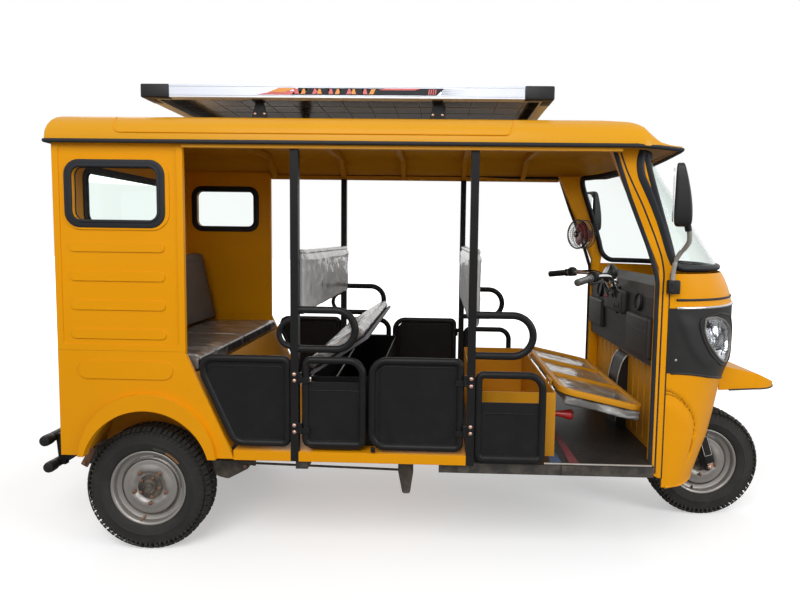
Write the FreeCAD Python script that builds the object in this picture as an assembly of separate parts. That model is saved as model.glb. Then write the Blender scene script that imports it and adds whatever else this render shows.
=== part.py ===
import FreeCAD, Part
import math
import os

V = FreeCAD.Vector

# Driving dimensions, in millimetres
wheelbase = 2583.0
rear_axle_setback = 1186.0
rear_overhang = 312.0
rear_track = 922.0
tyre_radius = 270.0
tyre_width = 114.0
body_width = 1200.0
cab_width = 1062.0
roof_width = 1244.0
floor_top = 487.0
floor_depth = 41.0
sill_depth = 42.0
gutter_height = 1737.0
panel_tuck = 14.0
roof_rise = 114.0
roof_crown = 15.0
side_panel_length = 531.0
pillar_1_ahead = 666.0
door_bay = 719.0
cab_bay = 757.0
half_door_top = 883.0
seam_rise = 9.0
overrun = 5.0
slip = 0.3

# Stock sizes
wall = 18.0
sheet = 4.0
pillar_size = 32.0
door_tube = 30.0
loop_tube = 30.0
rail_width = 40.0
press_depth = 4.0

# Places worked out from them
x_rear_axle = -rear_axle_setback
x_front_axle = x_rear_axle + wheelbase
x_body_rear = x_rear_axle - rear_overhang
x_side_front = x_body_rear + side_panel_length
x_pillar_1 = x_rear_axle + pillar_1_ahead
x_pillar_2 = x_pillar_1 + door_bay
x_post = x_pillar_2 + cab_bay
y_side = body_width / 2
y_inner = y_side - wall
y_cab = cab_width / 2
y_roof = roof_width / 2
y_wheel = rear_track / 2
z_floor = floor_top
z_deck = floor_top - floor_depth
z_sill = z_deck - sill_depth
z_seam = half_door_top + seam_rise
half_pillar = pillar_size / 2


def block(x0, x1, y0, y1, z0, z1):
    return Part.makeBox(x1 - x0, y1 - y0, z1 - z0, V(x0, y0, z0))


def cylinder(radius, start, end):
    run = end - start
    return Part.makeCylinder(radius, run.Length, start, run)


def mirrored(shape):
    return shape.mirror(V(0, 0, 0), V(0, 1, 0))


def both(shape):
    return Part.makeCompound([shape, mirrored(shape)])


def fused(shapes):
    joined = shapes[0].multiFuse(shapes[1:]) if len(shapes) > 1 else shapes[0]
    return joined.removeSplitter()


def corner_edges(points, radii, closed):
    # Straight runs joined by tangent arcs, one radius for each corner
    count = len(points)
    starts, ends, middles = [], [], []
    for i, corner in enumerate(points):
        before, after = points[i - 1], points[(i + 1) % count]
        at_end = not closed and i in (0, count - 1)
        if at_end or radii[i] <= 0:
            starts.append(corner)
            ends.append(corner)
            middles.append(None)
            continue
        way_in = (before - corner).normalize()
        way_out = (after - corner).normalize()
        half_angle = way_in.getAngle(way_out) / 2
        reach = radii[i] / math.tan(half_angle)
        bisector = (way_in + way_out).normalize()
        depth = radii[i] / math.sin(half_angle) - radii[i]
        starts.append(corner + way_in * reach)
        ends.append(corner + way_out * reach)
        middles.append(corner + bisector * depth)
    edges = []
    for i in range(count):
        if middles[i] is not None:
            edges.append(Part.Arc(starts[i], middles[i], ends[i]).toShape())
        if i == count - 1 and not closed:
            break
        following = starts[(i + 1) % count]
        if (following - ends[i]).Length > slip / 10:
            edges.append(Part.LineSegment(ends[i], following).toShape())
    return edges


def ring(points, radii, closed=True):
    if not isinstance(radii, (list, tuple)):
        radii = [radii] * len(points)
    return Part.Wire(corner_edges(points, radii, closed))


def prism_y(outline, radii, y0, y1):
    points = [V(x, y0, z) for x, z in outline]
    return Part.Face(ring(points, radii)).extrude(V(0, y1 - y0, 0))


def prism_x(outline, radii, x0, x1):
    points = [V(x0, y, z) for y, z in outline]
    return Part.Face(ring(points, radii)).extrude(V(x1 - x0, 0, 0))


def prism_z(outline, radii, z0, z1):
    points = [V(x, y, z0) for x, y in outline]
    return Part.Face(ring(points, radii)).extrude(V(0, 0, z1 - z0))


def tube(points, bend, radius, closed=False):
    path = ring(points, bend, closed)
    first = path.OrderedEdges[0]
    start = first.valueAt(first.FirstParameter)
    way = first.tangentAt(first.FirstParameter)
    if first.Orientation == "Reversed":
        start = first.valueAt(first.LastParameter)
        way = -first.tangentAt(first.LastParameter)
    circle = Part.Wire(Part.makeCircle(radius, start, way))
    return path.makePipeShell([circle], True, False)


def half_ellipse(x_side, x_front, half_width, height):
    # The plan curve of the cab's front: from one side round the nose to the other
    circle = Part.Circle(V(0, 0, 0), V(0, 0, 1), 1)
    curve = Part.ArcOfCircle(circle, -math.pi / 2, math.pi / 2).toNurbs()
    for i, pole in enumerate(curve.getPoles()):
        x = x_side + pole.x * (x_front - x_side)
        curve.setPole(i + 1, V(x, pole.y * half_width, height))
    return curve.toShape()


def nose_ring(x_side, x_front, half_width, height, skin):
    outer = half_ellipse(x_side, x_front, half_width, height)
    inner = half_ellipse(x_side, x_front - skin, half_width - skin, height)
    near = Part.LineSegment(V(x_side, -half_width, height), V(x_side, skin - half_width, height))
    far = Part.LineSegment(V(x_side, half_width, height), V(x_side, half_width - skin, height))
    return Part.Wire(Part.__sortEdges__([outer, far.toShape(), inner, near.toShape()]))


def nose_shell(levels, half_width, skin):
    rings = [nose_ring(x0, x1, half_width, z, skin) for x0, x1, z in levels]
    return Part.makeLoft(rings, True, True)


def write(name, shape):
    shape.exportStep(os.path.join("parts", name + ".step"))
    box = shape.optimalBoundingBox()
    print("%-20s solids %d valid %s x %.0f..%.0f y %.0f..%.0f z %.0f..%.0f" % (
        name, len(shape.Solids), shape.isValid(), box.XMin, box.XMax,
        box.YMin, box.YMax, box.ZMin, box.ZMax))


# Wheels: tyre and pressed steel rim
rim_radius = 152.0
flange_radius = 167.0
rim_width = 88.0
rim_skin = 5.0
well_radius = 132.0
hub_radius = 44.0
hub_length = 62.0
hub_cap_radius = 36.0
hub_cap_length = 22.0
stub_radius = 12.0
disc_offset = 14.0
disc_skin = 5.0
lug_circle = 62.0
lug_radius = 7.0
lug_height = 9.0
lug_count = 5
bead_gap = 0.3
tyre_wall_shares = [(0.62, 0.39), (0.66, 0.46), (0.76, 0.5), (0.87, 0.485), (0.94, 0.42),
                    (0.985, 0.3), (1.0, 0.0)]


def revolved_y(outline, y_centre=0.0):
    # The outline is a list of (radius, y) corners, turned about the Y axis
    points = [V(r, y + y_centre, 0) for r, y in outline]
    face = Part.Face(Part.makePolygon(points + [points[0]]))
    return face.revolve(V(0, 0, 0), V(0, 1, 0), 360)


def tyre():
    seat = rim_radius + rim_skin + bead_gap
    bead = flange_radius + bead_gap
    half = [(seat, 0.39 * tyre_width)]
    outer = [(tyre_radius * r, tyre_width * y) for r, y in tyre_wall_shares]
    near = [(r, -y) for r, y in reversed(outer[:-1])]
    inner = [(seat, -rim_width / 2 + rim_skin + bead_gap), (seat, rim_width / 2 - rim_skin - bead_gap)]
    lip = [(bead, rim_width / 2 - rim_skin - bead_gap)]
    low = [(bead, -rim_width / 2 + rim_skin + bead_gap)]
    return revolved_y(inner[1:] + lip + outer + near + low + inner[:1])


def rim(capped=True):
    # Outboard is towards +Y
    w = rim_width / 2
    barrel = revolved_y([
        (rim_radius, -w), (flange_radius, -w), (flange_radius, rim_skin - w),
        (rim_radius + rim_skin, rim_skin - w), (rim_radius + rim_skin, -w / 2),
        (well_radius + rim_skin, -w / 4), (well_radius + rim_skin, w / 4),
        (rim_radius + rim_skin, w / 2), (rim_radius + rim_skin, w - rim_skin),
        (flange_radius, w - rim_skin), (flange_radius, w), (rim_radius, w),
        (rim_radius, w / 2), (well_radius, w / 4), (well_radius, -w / 4), (rim_radius, -w / 2)])
    y0 = disc_offset
    disc = revolved_y([
        (stub_radius, y0), (well_radius * 0.62, y0), (well_radius * 0.72, y0 + disc_offset),
        (well_radius * 0.86, y0 + disc_offset), (well_radius + slip, w / 4 - disc_skin),
        (well_radius + slip, w / 4), (well_radius * 0.88, y0 + disc_offset + disc_skin),
        (well_radius * 0.7, y0 + disc_offset + disc_skin), (well_radius * 0.6, y0 + disc_skin),
        (stub_radius, y0 + disc_skin)])
    hub = revolved_y([
        (stub_radius, y0 - hub_length), (hub_radius, y0 - hub_length), (hub_radius, y0 + slip),
        (hub_cap_radius, y0 + hub_cap_length), (stub_radius, y0 + hub_cap_length + disc_skin),
        (stub_radius, y0 + hub_cap_length)])
    cap = revolved_y([
        (0.0, y0 + hub_cap_length - disc_skin), (stub_radius + slip, y0 + hub_cap_length - disc_skin),
        (stub_radius + slip, y0 + hub_cap_length + disc_skin), (0.0, y0 + hub_cap_length + disc_skin)])
    nuts = []
    for i in range(lug_count):
        turn = 2 * math.pi * i / lug_count
        foot = V(lug_circle * math.sin(turn), y0 + disc_skin - slip, lug_circle * math.cos(turn))
        nuts.append(cylinder(lug_radius, foot, foot + V(0, lug_height, 0)))
    return fused([barrel, disc, hub] + ([cap] if capped else []) + nuts)


def placed(shape, x, y, z, outboard_left=True):
    turned = shape.copy()
    if not outboard_left:
        turned = mirrored(turned)
    turned.translate(V(x, y, z))
    return turned


# Chassis
y_rail = 345.0
chassis_tail = 22.0
x_bulkhead = x_post + 44.0
cross_width = 50.0
side_sill_width = 30.0
side_sill_start = 126.0
y_front_sill = y_side - 25.0
head_outer = 27.0
head_inner = 19.0
stay_radius = 16.0
rake = math.radians(27.0)
fork_lead = 15.0
head_low = 352.0
head_high = 560.0
clamp_height = 986.0

steer_way = V(-math.sin(rake), 0, math.cos(rake))
steer_side = V(math.cos(rake), 0, math.sin(rake))
steer_foot = V(x_front_axle - fork_lead, 0, tyre_radius)


def on_steering(height, ahead=0.0, y=0.0):
    return steer_foot + steer_way * height + steer_side * ahead + V(0, y, 0)


z_clamp = on_steering(clamp_height).z


def chassis():
    x0 = x_body_rear - chassis_tail
    x1 = x_bulkhead + cross_width
    rail = block(x0, x1, y_rail - rail_width / 2, y_rail + rail_width / 2, z_sill, z_deck)
    parts = [rail, mirrored(rail)]
    crosses = [x0, x_rear_axle + tyre_radius * 1.5, x_pillar_1, x_pillar_2 - cross_width,
               (x_pillar_2 + x_post) / 2, x_bulkhead]
    for i, x in enumerate(crosses):
        reach = y_rail if i == 0 else y_inner
        if i == 1:
            reach = y_rail
        if i == len(crosses) - 1:
            reach = y_cab - post_depth - slip
        parts.append(block(x, x + cross_width, -reach, reach, z_sill + sheet, z_deck))
    sill = block(x_pillar_2 - side_sill_start, x_post - post_slant - slip, y_front_sill - side_sill_width,
                 y_front_sill, z_sill, z_deck)
    parts += [sill, mirrored(sill)]
    head = cylinder(head_outer, on_steering(head_low), on_steering(head_high))
    foot = V(x_bulkhead + cross_width / 2, y_rail / 2, z_deck - sheet)
    for height in (head_low + head_outer, head_high - head_outer):
        stay = cylinder(stay_radius, foot, on_steering(height, 0, head_inner / 2))
        parts += [stay, mirrored(stay)]
    frame = fused(parts + [head])
    bore = cylinder(head_inner, on_steering(head_low - overrun), on_steering(head_high + overrun))
    return frame.cut(bore)


# Rear axle, springs and drive
axle_tube = 30.0
drum_radius = 100.0
drum_inner_gap = 12.0
drum_width = 34.0
diff_radius = 82.0
diff_width = 130.0
battery_back = 60.0
battery_length = 500.0
battery_half = 330.0
battery_clear = 81.0
spring_width = 45.0
leaf = 7.0
leaf_count = 4
leaf_step_share = 0.2
leaf_stations = 12
spring_front = 362.0
spring_rear = 332.0
spring_eye = 16.0
y_spring = 340.0
spring_camber = 14.0
motor_radius = 95.0
motor_length = 210.0


def rear_axle():
    y_face = y_wheel + disc_offset - hub_length - drum_inner_gap
    z = tyre_radius
    tube_shape = cylinder(axle_tube, V(x_rear_axle, -y_face, z), V(x_rear_axle, y_face, z))
    drum = cylinder(drum_radius, V(x_rear_axle, y_face - drum_width, z), V(x_rear_axle, y_face, z))
    stub = cylinder(stub_radius - 1 * slip, V(x_rear_axle, y_face - overrun, z),
                    V(x_rear_axle, y_wheel + disc_offset + hub_cap_length - 2 * disc_skin, z))
    bulge = cylinder(diff_radius, V(x_rear_axle, -diff_width / 2, z), V(x_rear_axle, diff_width / 2, z))
    dome = Part.makeSphere(diff_radius * 1.08, V(x_rear_axle, 0, z))
    return fused([tube_shape, drum, mirrored(drum), stub, mirrored(stub), bulge, dome])


def drive_motor():
    x = x_rear_axle + diff_radius * 1.08 + slip
    return cylinder(motor_radius, V(x, 0, tyre_radius + leaf), V(x + motor_length, 0, tyre_radius + leaf))


def battery_pack():
    x = x_body_rear + battery_back
    return block(x, x + battery_length, -battery_half, battery_half, z_floor + slip,
                 seat_deck_top - battery_clear)


def leaf_height(x, level):
    return tyre_radius + axle_tube + slip + level * leaf + spring_camber * ((x - x_rear_axle) / spring_front) ** 2


def leaf_outline():
    # The stacked leaves as one stepped outline, longest leaf on top
    shares = [1 - leaf_step_share * i for i in range(leaf_count)]
    stations = [i * (spring_front + spring_rear) / leaf_stations - spring_rear for i in range(leaf_stations + 1)]
    points = [(x_rear_axle + x, leaf_height(x_rear_axle + x, leaf_count)) for x in stations]
    ends = [(spring_front, 1), (spring_rear, -1)]
    sides = []
    for reach, way in ends:
        side = []
        for i, share in enumerate(shares):
            x = x_rear_axle + way * reach * share
            if i:
                side.append((x, leaf_height(x, leaf_count - i)))
            side.append((x, leaf_height(x, leaf_count - 1 - i)))
        sides.append(side)
    middle = [(x_rear_axle, leaf_height(x_rear_axle, 0))]
    return points + sides[0] + middle + list(reversed(sides[1]))


def leaf_spring():
    y0 = y_spring - spring_width / 2
    y1 = y_spring + spring_width / 2
    x_front = x_rear_axle + spring_front
    x_rear = x_rear_axle - spring_rear
    parts = [prism_y(leaf_outline(), 0, y0, y1)]
    z_eye = leaf_height(x_front, leaf_count) - leaf / 2
    for x in (x_front, x_rear):
        parts.append(cylinder(spring_eye, V(x, y0, z_eye), V(x, y1, z_eye)))
    hanger = prism_y([
        (x_front - 2.4 * spring_eye, z_sill - slip), (x_front + 3 * spring_eye, z_sill - slip),
        (x_front + 1.2 * spring_eye, z_eye - 1.6 * spring_eye),
        (x_front - 1.2 * spring_eye, z_eye - 1.6 * spring_eye)], 0, y1 - slip, y1 + sheet)
    shackle = prism_y([
        (x_rear - 1.2 * spring_eye, z_eye - 1.4 * spring_eye), (x_rear + 1.2 * spring_eye, z_eye - 1.4 * spring_eye),
        (x_rear + 2 * spring_eye, z_sill - slip), (x_rear, z_sill - slip)], 0, y1 - slip, y1 + sheet)
    for plate in (hanger, shackle):
        inner = plate.copy()
        inner.translate(V(0, slip - sheet - spring_width, 0))
        parts += [plate, inner]
    return fused(parts)


rod_radius = 5.0
y_rod = 452.0
z_rod = 362.0
bracket_back = 236.0
bracket_length = 66.0
bracket_drop = 146.0
rod_tail = 440.0


def brake_linkage():
    # A hanging bracket each side, its lever, and the rod back to the rear drum
    x1 = x_pillar_2 - bracket_back
    x0 = x1 - bracket_length
    plate = prism_y([
        (x0, z_deck - slip), (x0, z_rod - rod_radius), (x0 + bracket_length * 0.3, z_sill - bracket_drop),
        (x1 - bracket_length * 0.2, z_sill - bracket_drop), (x1, z_rod - 2 * rod_radius),
        (x1, z_deck - slip)], [0, 0, 12, 12, 0, 0], y_rod, y_rod + 2 * sheet)
    x_link = x_rear_axle + rod_tail
    y_link = y_rod - tyre_width / 4
    rod = cylinder(rod_radius, V(x0 + 2 * rod_radius, y_rod + sheet, z_rod), V(x_link, y_link, z_rod))
    z_pin = z_sill + sill_depth / 2
    drop = cylinder(rod_radius + sheet / 2, V(x_link, y_link, z_rod - 2 * rod_radius),
                    V(x_link, y_link, z_pin + 2 * rod_radius))
    pin = cylinder(rod_radius - sheet / 4, V(x_link, y_rail + rail_width / 2 + slip, z_pin), V(x_link, y_link, z_pin))
    return both(fused([plate, rod, drop, pin]))


# Floors
mat = 5.0


def passenger_floor():
    x0 = slope_x(z_floor) + border / 2 + slip
    x1 = x_pillar_2 - half_pillar - slip
    main = block(x0, x1, -y_side, y_side, z_deck, z_floor)
    y_box = y_wheel - tyre_width / 2 - wheelhouse_gap
    tail = block(x_body_rear + wall + slip, x0 + overrun, -y_box, y_box, z_deck, z_floor)
    floor = fused([main, tail])
    post = block(x_pillar_1 - half_pillar - slip, x_pillar_1 + half_pillar + slip,
                 y_side - pillar_size - slip, y_side + overrun, z_deck - overrun, z_floor + overrun)
    return floor.cut(Part.makeCompound([post, mirrored(post)]))


def cab_floor():
    x0 = x_pillar_2 - half_pillar - slip
    x1 = x_bulkhead - slip
    xp = x_post - post_slant - slip
    y_post = y_cab - post_depth - slip
    outline = [(x0, -y_front_sill), (xp, -y_front_sill), (xp, -y_post), (x1, -y_post), (x1, y_post),
               (xp, y_post), (xp, y_front_sill), (x0, y_front_sill)]
    floor = prism_z(outline, 0, z_deck, z_deck + mat)
    post = block(x0 - overrun, x_pillar_2 + half_pillar + slip, y_side - pillar_size - slip,
                 y_side + overrun, z_deck - overrun, z_floor + overrun)
    return floor.cut(Part.makeCompound([post, mirrored(post)]))


# Rear body
side_slope = 0.4535
quarter_bottom = 450.0
window_z0 = z_seam + 533.0
window_height = 212.4
window_z1 = window_z0 + window_height
window_back = 80.0
window_length = 356.0
window_corner = 34.0
border = 26.0
rib_height = 40.0
rib_pitch = 118.5
rib_count = 4
rib_top = window_z0 - 108.0
rib_back = 60.0
rib_length = 392.0
low_rib_z0 = z_seam - 116.0
low_rib_z1 = z_seam - 41.0
arch_ahead = 51.0
arch_rise = 109.0
arch_radius = 269.0
flare_ahead = 56.0
flare_rise = 160.0
flare_radius = 288.0
flare_width = 20.0
wheelhouse_gap = 16.0
wheelhouse_skin = 4.0


def pill(x0, x1, z0, z1, y0, y1):
    return prism_y([(x0, z0), (x1, z0), (x1, z1), (x0, z1)], (z1 - z0) / 2 - slip, y0, y1)


def rear_side():
    top = gutter_height + panel_tuck
    panel = block(x_body_rear, x_side_front, y_inner, y_side - press_depth, z_seam + slip, top)
    edge = prism_y([(x_body_rear, z_seam + slip), (x_side_front, z_seam + slip),
                    (x_side_front, top), (x_body_rear, top)], 0, y_side - press_depth, y_side)
    field = prism_y([
        (x_body_rear + border, z_seam + border), (x_side_front - border, z_seam + border),
        (x_side_front - border, top - border), (x_body_rear + border, top - border)], border / 2,
        y_side - press_depth - overrun, y_side + overrun)
    shapes = [panel, edge.cut(field)]
    x0 = x_body_rear + window_back
    x1 = x0 + window_length
    bead = prism_y([(x0 - border * 1.5, window_z0 - border * 1.5), (x1 + border * 1.5, window_z0 - border * 1.5),
                    (x1 + border * 1.5, window_z1 + border * 1.5), (x0 - border * 1.5, window_z1 + border * 1.5)],
                   window_corner + border * 1.5, y_side - press_depth, y_side)
    shapes.append(bead)
    for i in range(rib_count):
        z = rib_top - i * rib_pitch
        shapes.append(pill(x_body_rear + rib_back, x_body_rear + rib_back + rib_length,
                           z - rib_height / 2, z + rib_height / 2, y_side - press_depth, y_side))
    window = prism_y([(x0, window_z0), (x1, window_z0), (x1, window_z1), (x0, window_z1)],
                     window_corner, y_inner - overrun, y_side + overrun)
    return fused(shapes).cut(window)


def arch_cut(radius, x, z, y0, y1):
    return cylinder(radius, V(x, y0, z), V(x, y1, z))


def slope_x(height):
    return x_side_front + (half_door_top - height) * side_slope


def rear_quarter():
    outline = [(x_body_rear, quarter_bottom), (slope_x(z_floor) + border / 2, quarter_bottom),
               (slope_x(z_floor), z_floor), (x_side_front, half_door_top), (x_side_front, z_seam),
               (x_body_rear, z_seam)]
    panel = prism_y(outline, 0, y_inner, y_side)
    x_arch = x_rear_axle + arch_ahead
    z_arch = tyre_radius + arch_rise
    flare = arch_cut(flare_radius, x_rear_axle + flare_ahead, tyre_radius + flare_rise,
                     y_side - overrun, y_side + flare_width)
    below = block(x_body_rear - overrun, x_side_front + z_seam, 0, 2 * y_side, 0, quarter_bottom)
    rib = pill(x_body_rear + rib_back + border, x_body_rear + rib_back + border + rib_length,
               low_rib_z0, low_rib_z1, y_side - overrun, y_side + press_depth)
    opening = arch_cut(arch_radius, x_arch, z_arch, y_inner - overrun, y_side + flare_width + overrun)
    return fused([panel, flare, rib]).cut(opening).cut(below)


rear_window_half = 400.0
plate_hole_radius = 3.5
plate_hole_spacing = 170.0
plate_z = 640.0


def rear_wall():
    y = y_inner - slip
    x0 = x_body_rear
    x1 = x_body_rear + wall
    top = gutter_height + panel_tuck
    panel = block(x0 + press_depth, x1, -y, y, quarter_bottom, top)
    ribs = []
    for i in range(rib_count):
        z = rib_top - i * rib_pitch
        rib = prism_x([(-rear_window_half, z - rib_height / 2), (rear_window_half, z - rib_height / 2),
                       (rear_window_half, z + rib_height / 2), (-rear_window_half, z + rib_height / 2)],
                      rib_height / 2 - slip, x0, x0 + press_depth)
        ribs.append(rib)
    lower = prism_x([(border - y, quarter_bottom + border), (y - border, quarter_bottom + border),
                     (y - border, z_seam - border), (border - y, z_seam - border)],
                    border, x0, x0 + press_depth)
    bead = prism_x([(-rear_window_half - border * 1.5, window_z0 - border * 1.5),
                    (rear_window_half + border * 1.5, window_z0 - border * 1.5),
                    (rear_window_half + border * 1.5, window_z1 + border * 1.5),
                    (-rear_window_half - border * 1.5, window_z1 + border * 1.5)],
                   window_corner + border, x0, x0 + press_depth)
    window = prism_x([(-rear_window_half, window_z0), (rear_window_half, window_z0),
                      (rear_window_half, window_z1), (-rear_window_half, window_z1)],
                     window_corner, x0 - overrun, x1 + overrun)
    holes = []
    for side in (-1, 1):
        y_hole = side * plate_hole_spacing / 2
        holes.append(cylinder(plate_hole_radius, V(x0 - overrun, y_hole, plate_z),
                              V(x1 + overrun, y_hole, plate_z)))
    return fused([panel, lower, bead] + ribs).cut(window).cut(Part.makeCompound(holes))


seat_deck_top = half_door_top - 83.0
deck_skin = 8.0
front_wall_skin = 6.0


def rear_seat_box():
    # Deck under the bench, sloping front wall, and a wheelhouse each side
    x0 = x_body_rear + wall + slip
    y = y_inner - slip
    inset = front_wall_skin + slip
    deck = block(x0, slope_x(seat_deck_top) - inset, -y, y, seat_deck_top - deck_skin, seat_deck_top)
    front = prism_y([(slope_x(z_floor) - inset - front_wall_skin, z_floor + slip),
                     (slope_x(z_floor) - inset, z_floor + slip),
                     (slope_x(seat_deck_top) - inset, seat_deck_top),
                     (slope_x(seat_deck_top) - inset - front_wall_skin, seat_deck_top)], 0, -y, y)
    y_in = y_wheel - tyre_width / 2 - wheelhouse_gap
    x_arch = x_rear_axle + arch_ahead
    z_arch = tyre_radius + arch_rise
    radius = arch_radius + 2 * wheelhouse_gap
    drum = arch_cut(radius + wheelhouse_skin, x_arch, z_arch, y_in, y)
    hollow = arch_cut(radius, x_arch, z_arch, y_in + wheelhouse_skin, y + overrun)
    low = block(x_body_rear - overrun, x_pillar_2, -overrun, 2 * y_side, 0, z_deck + slip)
    side = prism_y([(x0, z_deck + slip), (slope_x(z_floor) - inset, z_deck + slip), (slope_x(z_floor) - inset, z_floor),
                    (slope_x(seat_deck_top) - inset, seat_deck_top), (x0, seat_deck_top)], 0,
                   y_in, y_in + wheelhouse_skin)
    house = fused([drum, side]).cut(hollow).cut(low)
    return fused([deck, front, house, mirrored(house)])


# Roof
roof_tail = 12.0
roof_skin = 10.0
visor_corner_reach = 54.0
visor_centre_reach = 180.0
visor_corner_radius = 90.0
roof_steps = 6
front_roll = 300.0
side_roll = 118.0
rear_roll = 26.0
lip_height = 12.0
crown_inset = 330.0


def roof_outline(front_inset, side_inset, rear_inset, height):
    # Plan of the roof at one height: straight tail and sides, rounded visor
    xr = x_body_rear - roof_tail + rear_inset
    half = y_roof - side_inset
    xs = x_post + visor_corner_reach - front_inset
    xf = x_post + visor_centre_reach - front_inset
    r = visor_corner_radius
    corner = V(xs - r, half - r, height)
    turn = math.radians(70)
    top = V(xs - r, half, height)
    mid = corner + V(r * math.sin(turn / 2), r * math.cos(turn / 2), 0)
    end = corner + V(r * math.sin(turn), r * math.cos(turn), 0)

    def other(p):
        return V(p.x, -p.y, p.z)
    edges = [
        Part.LineSegment(V(xr, -half, height), V(xr, half, height)),
        Part.LineSegment(V(xr, half, height), top),
        Part.Arc(top, mid, end),
        Part.Arc(end, V(xf, 0, height), other(end)),
        Part.Arc(other(end), other(mid), other(top)),
        Part.LineSegment(other(top), V(xr, -half, height))]
    return Part.Wire([e.toShape() for e in edges])


def roof_solid(skin):
    base = roof_outline(skin, skin, skin, gutter_height - (overrun if skin else 0))
    wires = [base]
    for i in range(roof_steps + 1):
        turn = math.pi / 2 * i / roof_steps
        fall = 1 - math.cos(turn)
        height = gutter_height + lip_height + (roof_rise - lip_height) * math.sin(turn) - skin
        wires.append(roof_outline(skin + front_roll * fall, skin + side_roll * fall,
                                  skin + rear_roll * fall, height))
    wires.append(roof_outline(skin + front_roll + crown_inset, skin + side_roll + crown_inset / 1.5,
                              skin + rear_roll + crown_inset, gutter_height + roof_rise + roof_crown - skin))
    return Part.makeLoft(wires, True, True)


def roof_shell():
    return roof_solid(0).cut(roof_solid(roof_skin))


bow_size = 26.0
rail_size = 24.0
z_rail_top = gutter_height + lip_height - roof_skin


def roof_frame():
    # Side rails over the pillars and arched bows under the skin
    z1 = z_rail_top
    z_bow = gutter_height + roof_rise - roof_skin - slip
    y0 = y_roof - roof_skin - slip - rail_size
    rail = block(x_side_front + slip, x_post - cab_bay / 4, y0, y0 + rail_size, z1 - rail_size, z1)
    parts = [rail, mirrored(rail)]
    bows = [x_side_front + bow_size, x_pillar_1, (x_pillar_1 + x_pillar_2) / 2, x_pillar_2,
            (x_pillar_2 + x_post) / 2 - bow_size]
    for x in bows:
        y_top = y_side - side_roll
        outer = [(-y0 - rail_size, z1 - rail_size), (-y0 - rail_size, z1), (-y_top, z_bow),
                 (y_top, z_bow), (y0 + rail_size, z1), (y0 + rail_size, z1 - rail_size),
                 (y0, z1 - rail_size), (y_top - bow_size / 2, z_bow - bow_size),
                 (bow_size / 2 - y_top, z_bow - bow_size), (-y0, z1 - rail_size)]
        parts.append(prism_x(outer, [0, 0, bow_size, bow_size, 0, 0, 0, bow_size, bow_size, 0],
                             x - bow_size / 2, x + bow_size / 2))
    return fused(parts)


# Side frames: pillars with grab loops, hinge leaves and backrest lugs
loop_1_low = half_door_top + 30.0
loop_1_top = loop_1_low + 160.0
loop_1_reach = 245.0
loop_2_low = half_door_top + 15.0
loop_2_top = loop_2_low + 166.0
loop_2_reach = 246.0
loop_back_low = half_door_top + 37.0
loop_back_top = loop_back_low + 110.0
loop_back_reach = 50.0
loop_back_tube = 22.0
hinge_top = half_door_top - 86.0
hinge_low = hinge_top - 209.0
hinge_radius = 7.0
hinge_length = 44.0
hinge_ahead = 9.0
hinge_out = 4.0
lug = 30.0
lug_depth = 6.0
mid_back_z0 = half_door_top + 157.0
mid_back_z1 = mid_back_z0 + 285.0
mid_back_x1 = 34.0
mid_back_depth = 46.0
driver_back_z0 = half_door_top + 117.0
driver_back_z1 = driver_back_z0 + 335.0
back_half = 560.0


def grab_loop(x, way, z0, z1, reach, size):
    y = y_side - loop_tube / 2
    bend = (z1 - z0) / 2 - slip
    points = [V(x, y, z1), V(x + way * reach, y, z1), V(x + way * reach, y, z0), V(x, y, z0)]
    return tube(points, bend, size / 2)


def hinge_leaf(x_pillar, way):
    # The fixed half of a door hinge: two knuckles on plates bolted to the pillar
    parts = []
    x_axis = x_pillar + way * (half_pillar + hinge_ahead)
    y_axis = y_side + hinge_out
    for z in (hinge_top, hinge_low):
        x_far = x_pillar - way * half_pillar
        parts.append(block(min(x_far, x_axis), max(x_far, x_axis), y_side - slip, y_side + sheet,
                           z + slip, z + hinge_length / 2))
        parts.append(cylinder(hinge_radius, V(x_axis, y_axis, z + slip), V(x_axis, y_axis, z + hinge_length / 2)))
    return parts


def side_frame():
    z1 = z_rail_top - rail_size - slip
    y0 = y_side - pillar_size
    parts = []
    for x, z0 in ((x_pillar_1, z_deck + slip), (x_pillar_2, z_deck + slip)):
        parts.append(block(x - half_pillar, x + half_pillar, y0, y_side, z0, z1))
    parts.append(grab_loop(x_pillar_1, 1, loop_1_low, loop_1_top, loop_1_reach, loop_tube))
    parts.append(grab_loop(x_pillar_1, -1, loop_back_low, loop_back_top, loop_back_reach + half_pillar,
                           loop_back_tube))
    parts.append(grab_loop(x_pillar_2, 1, loop_2_low, loop_2_top, loop_2_reach, loop_tube))
    parts += hinge_leaf(x_pillar_1, 1)
    parts += hinge_leaf(x_pillar_2, -1)
    for x, za, zb in ((x_pillar_1, mid_back_z0, mid_back_z1), (x_pillar_2, driver_back_z0, driver_back_z1)):
        for z in (za + lug, zb - lug):
            parts.append(block(x - half_pillar, x + lug - half_pillar, back_half + slip, y0 + slip,
                               z - lug / 2, z + lug / 2))
    return fused(parts)


# Fixed guards and half doors
door_bottom = floor_top + 15.0
front_door_bottom = floor_top + 9.0
guard_gap = 15.0
guard_reach = 290.0
guard_top = half_door_top - 48.0
guard_open_z = guard_top - 128.0
guard_bottom = floor_top - 30.0
door_split = 276.0
door_gap = 9.0
rear_door_top = half_door_top - 1.0
rear_door_open_z = rear_door_top - 105.0
front_door_top = half_door_top + 2.0
guard_bend = 40.0
guard_corner_drop = 72.0
small_bend = 22.0
large_bend = 60.0


def framed(outline, radii, sheet_outline):
    # A bent tube round the edge with a sheet in its plane
    y = y_side - door_tube / 2
    frame = tube([V(x, y, z) for x, z in outline], radii, door_tube / 2, True)
    skin = prism_y(sheet_outline, 0, y - sheet / 2, y + sheet / 2)
    return frame.fuse(skin).removeSplitter()


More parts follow.
